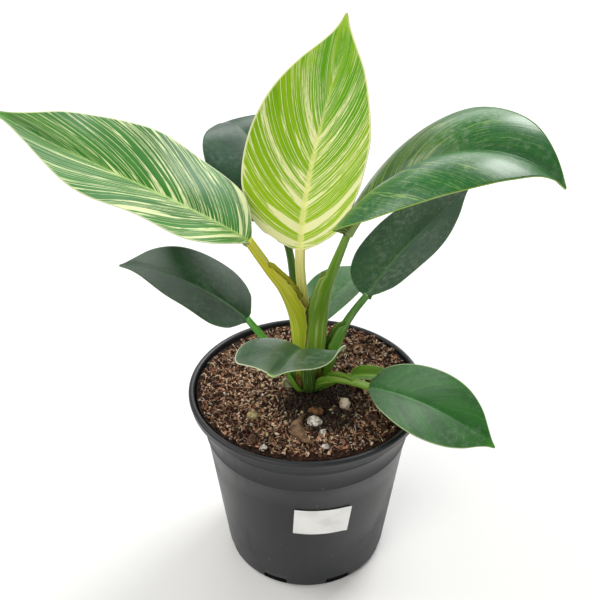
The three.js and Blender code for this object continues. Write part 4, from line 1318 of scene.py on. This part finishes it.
perlite = stone_like("expanded_perlite", "#e9e4dc", "#8f8478", 800, bump_strength=0.9)
tan_stone = stone_like("tan_pebble", "#d8cbb8", "#8a5a38", 190)
yellow_stone = stone_like("yellowish_grit", "#c9b98c", "#8a7a50", 400)
green_stone = stone_like("greenish_grey_stone", "#aaa67c", "#55563a", 420)
bark_chip = stone_like("weathered_bark_chip", "#8a5a34", "#3a2214", 350, bump_strength=0.9)
old_bark = stone_like("peat_stained_bark", "#6f4c38", "#2c1c14", 350, bump_strength=0.9)

LUMPS = dict.fromkeys(("perlite_large", "perlite_front", "perlite_rim", "perlite_left"),
                      (perlite, "perlite", 0.34, 1.0))
LUMPS |= {
    "pebble_tan": (tan_stone, "pebble", 0.15, 1.0), "pebble_yellow": (yellow_stone, "pebble", 0.2, 1.0),
    "stone_grey": (green_stone, "pebble", 0.22, 1.0), "bark_orange": (bark_chip, "bark", 0.28, 0.8),
    "bark_left": (old_bark, "bark", 0.28, 0.8), "bark_right": (old_bark, "bark", 0.28, 0.8),
}
for lump_name, (stuff, slot, knobs, flat) in LUMPS.items():
    build_lump(lump_name, stuff, knobs, flat)
print("named lumps", len(LUMPS))

# %% Small perlite and grit
PERLITE_BATCH, GRIT_BATCH, BIT_DOUBLINGS = 22, 18, 2
perlite_bits = strew(PERLITE_BATCH, BIT_DOUBLINGS, (0.4, 0.85), (0.4, 0.85), (0.35, 0.7), (0, 1), "crumb",
                     margin=3)
finish_mesh("perlite_bits", perlite_bits, perlite, ["soil"])
grit_bits = strew(GRIT_BATCH, BIT_DOUBLINGS, (0.5, 1.1), (0.6, 1.3), (0.4, 0.7), (0, 1), "crumb", margin=3)
finish_mesh("grit_bits", grit_bits, yellow_stone, ["soil"])
print("small bits of perlite and grit", (PERLITE_BATCH + GRIT_BATCH) * 2 ** BIT_DOUBLINGS)

# %% [markdown]
# ## The fallen leaf
# An old leaf has dried on the soil into a thin brown curl. It keeps the pointed oval of a leaf but the
# tissue has shrunk, so it arches over its edges, bows to one side and crumples. A grid is shaped by
# those three motions in turn.

# %% Fallen leaf
fallen_low, fallen_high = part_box("fallen_leaf")
FALLEN_LENGTH = (fallen_high.y - fallen_low.y) / MM
FALLEN_START = (-1.0, fallen_high.y / MM)
FALLEN_BOW = 6.0  # sideways at mid-length
FALLEN_DRIFT = 4.4  # sideways from end to end
FALLEN_CURL = math.radians(62)  # each half bends down by this
FALLEN_ARCH = 2.1
FALLEN_CRUMPLE = 0.9
FALLEN_LIFT = 0.9  # over the mix
FALLEN_HALF = [(0, 0.5), (0.12, 1.4), (0.3, 2.2), (0.5, 3.6), (0.68, 3.5), (0.84, 2.4), (1, 0.2)]

fallen = bmesh.new()
bmesh.ops.create_grid(fallen, x_segments=20, y_segments=60, size=1)
for vert in fallen.verts:
    share = (vert.co.y + 1) / 2
    bend = vert.co.x * FALLEN_CURL
    across = math.sin(bend) / math.sin(FALLEN_CURL) * between(FALLEN_HALF, share)
    across *= 1 + 0.22 * noise.noise(Vector((vert.co.x * 0.6, share * 9, 2.7)))
    swell = math.sin(math.pi * share)
    arch = FALLEN_ARCH * math.cos(bend * 1.25) * swell ** 0.5
    crumple = FALLEN_CRUMPLE * noise.noise(Vector((vert.co.x * 1.8, share * 7, 4.2)))
    x = FALLEN_START[0] - FALLEN_BOW * swell + FALLEN_DRIFT * share + across
    y = FALLEN_START[1] - FALLEN_LENGTH * share + across * 0.4 * math.cos(math.pi * share)
    lie = soil_relief(x, y) + FALLEN_LIFT
    vert.co = Vector((x, y, SOIL_LEVEL + lie + arch + crumple)) * MM
bmesh.ops.solidify(fallen, geom=fallen.faces[:], thickness=0.35 * MM)
bmesh.ops.recalc_face_normals(fallen, faces=fallen.faces)
finish_mesh("fallen_dry_leaf", fallen, papery("dry_fallen_leaf", "#5c4432", "#8d7055", 300),
            ["fallen_leaf"])
print("fallen leaf", round(FALLEN_LENGTH, 1), "mm long")
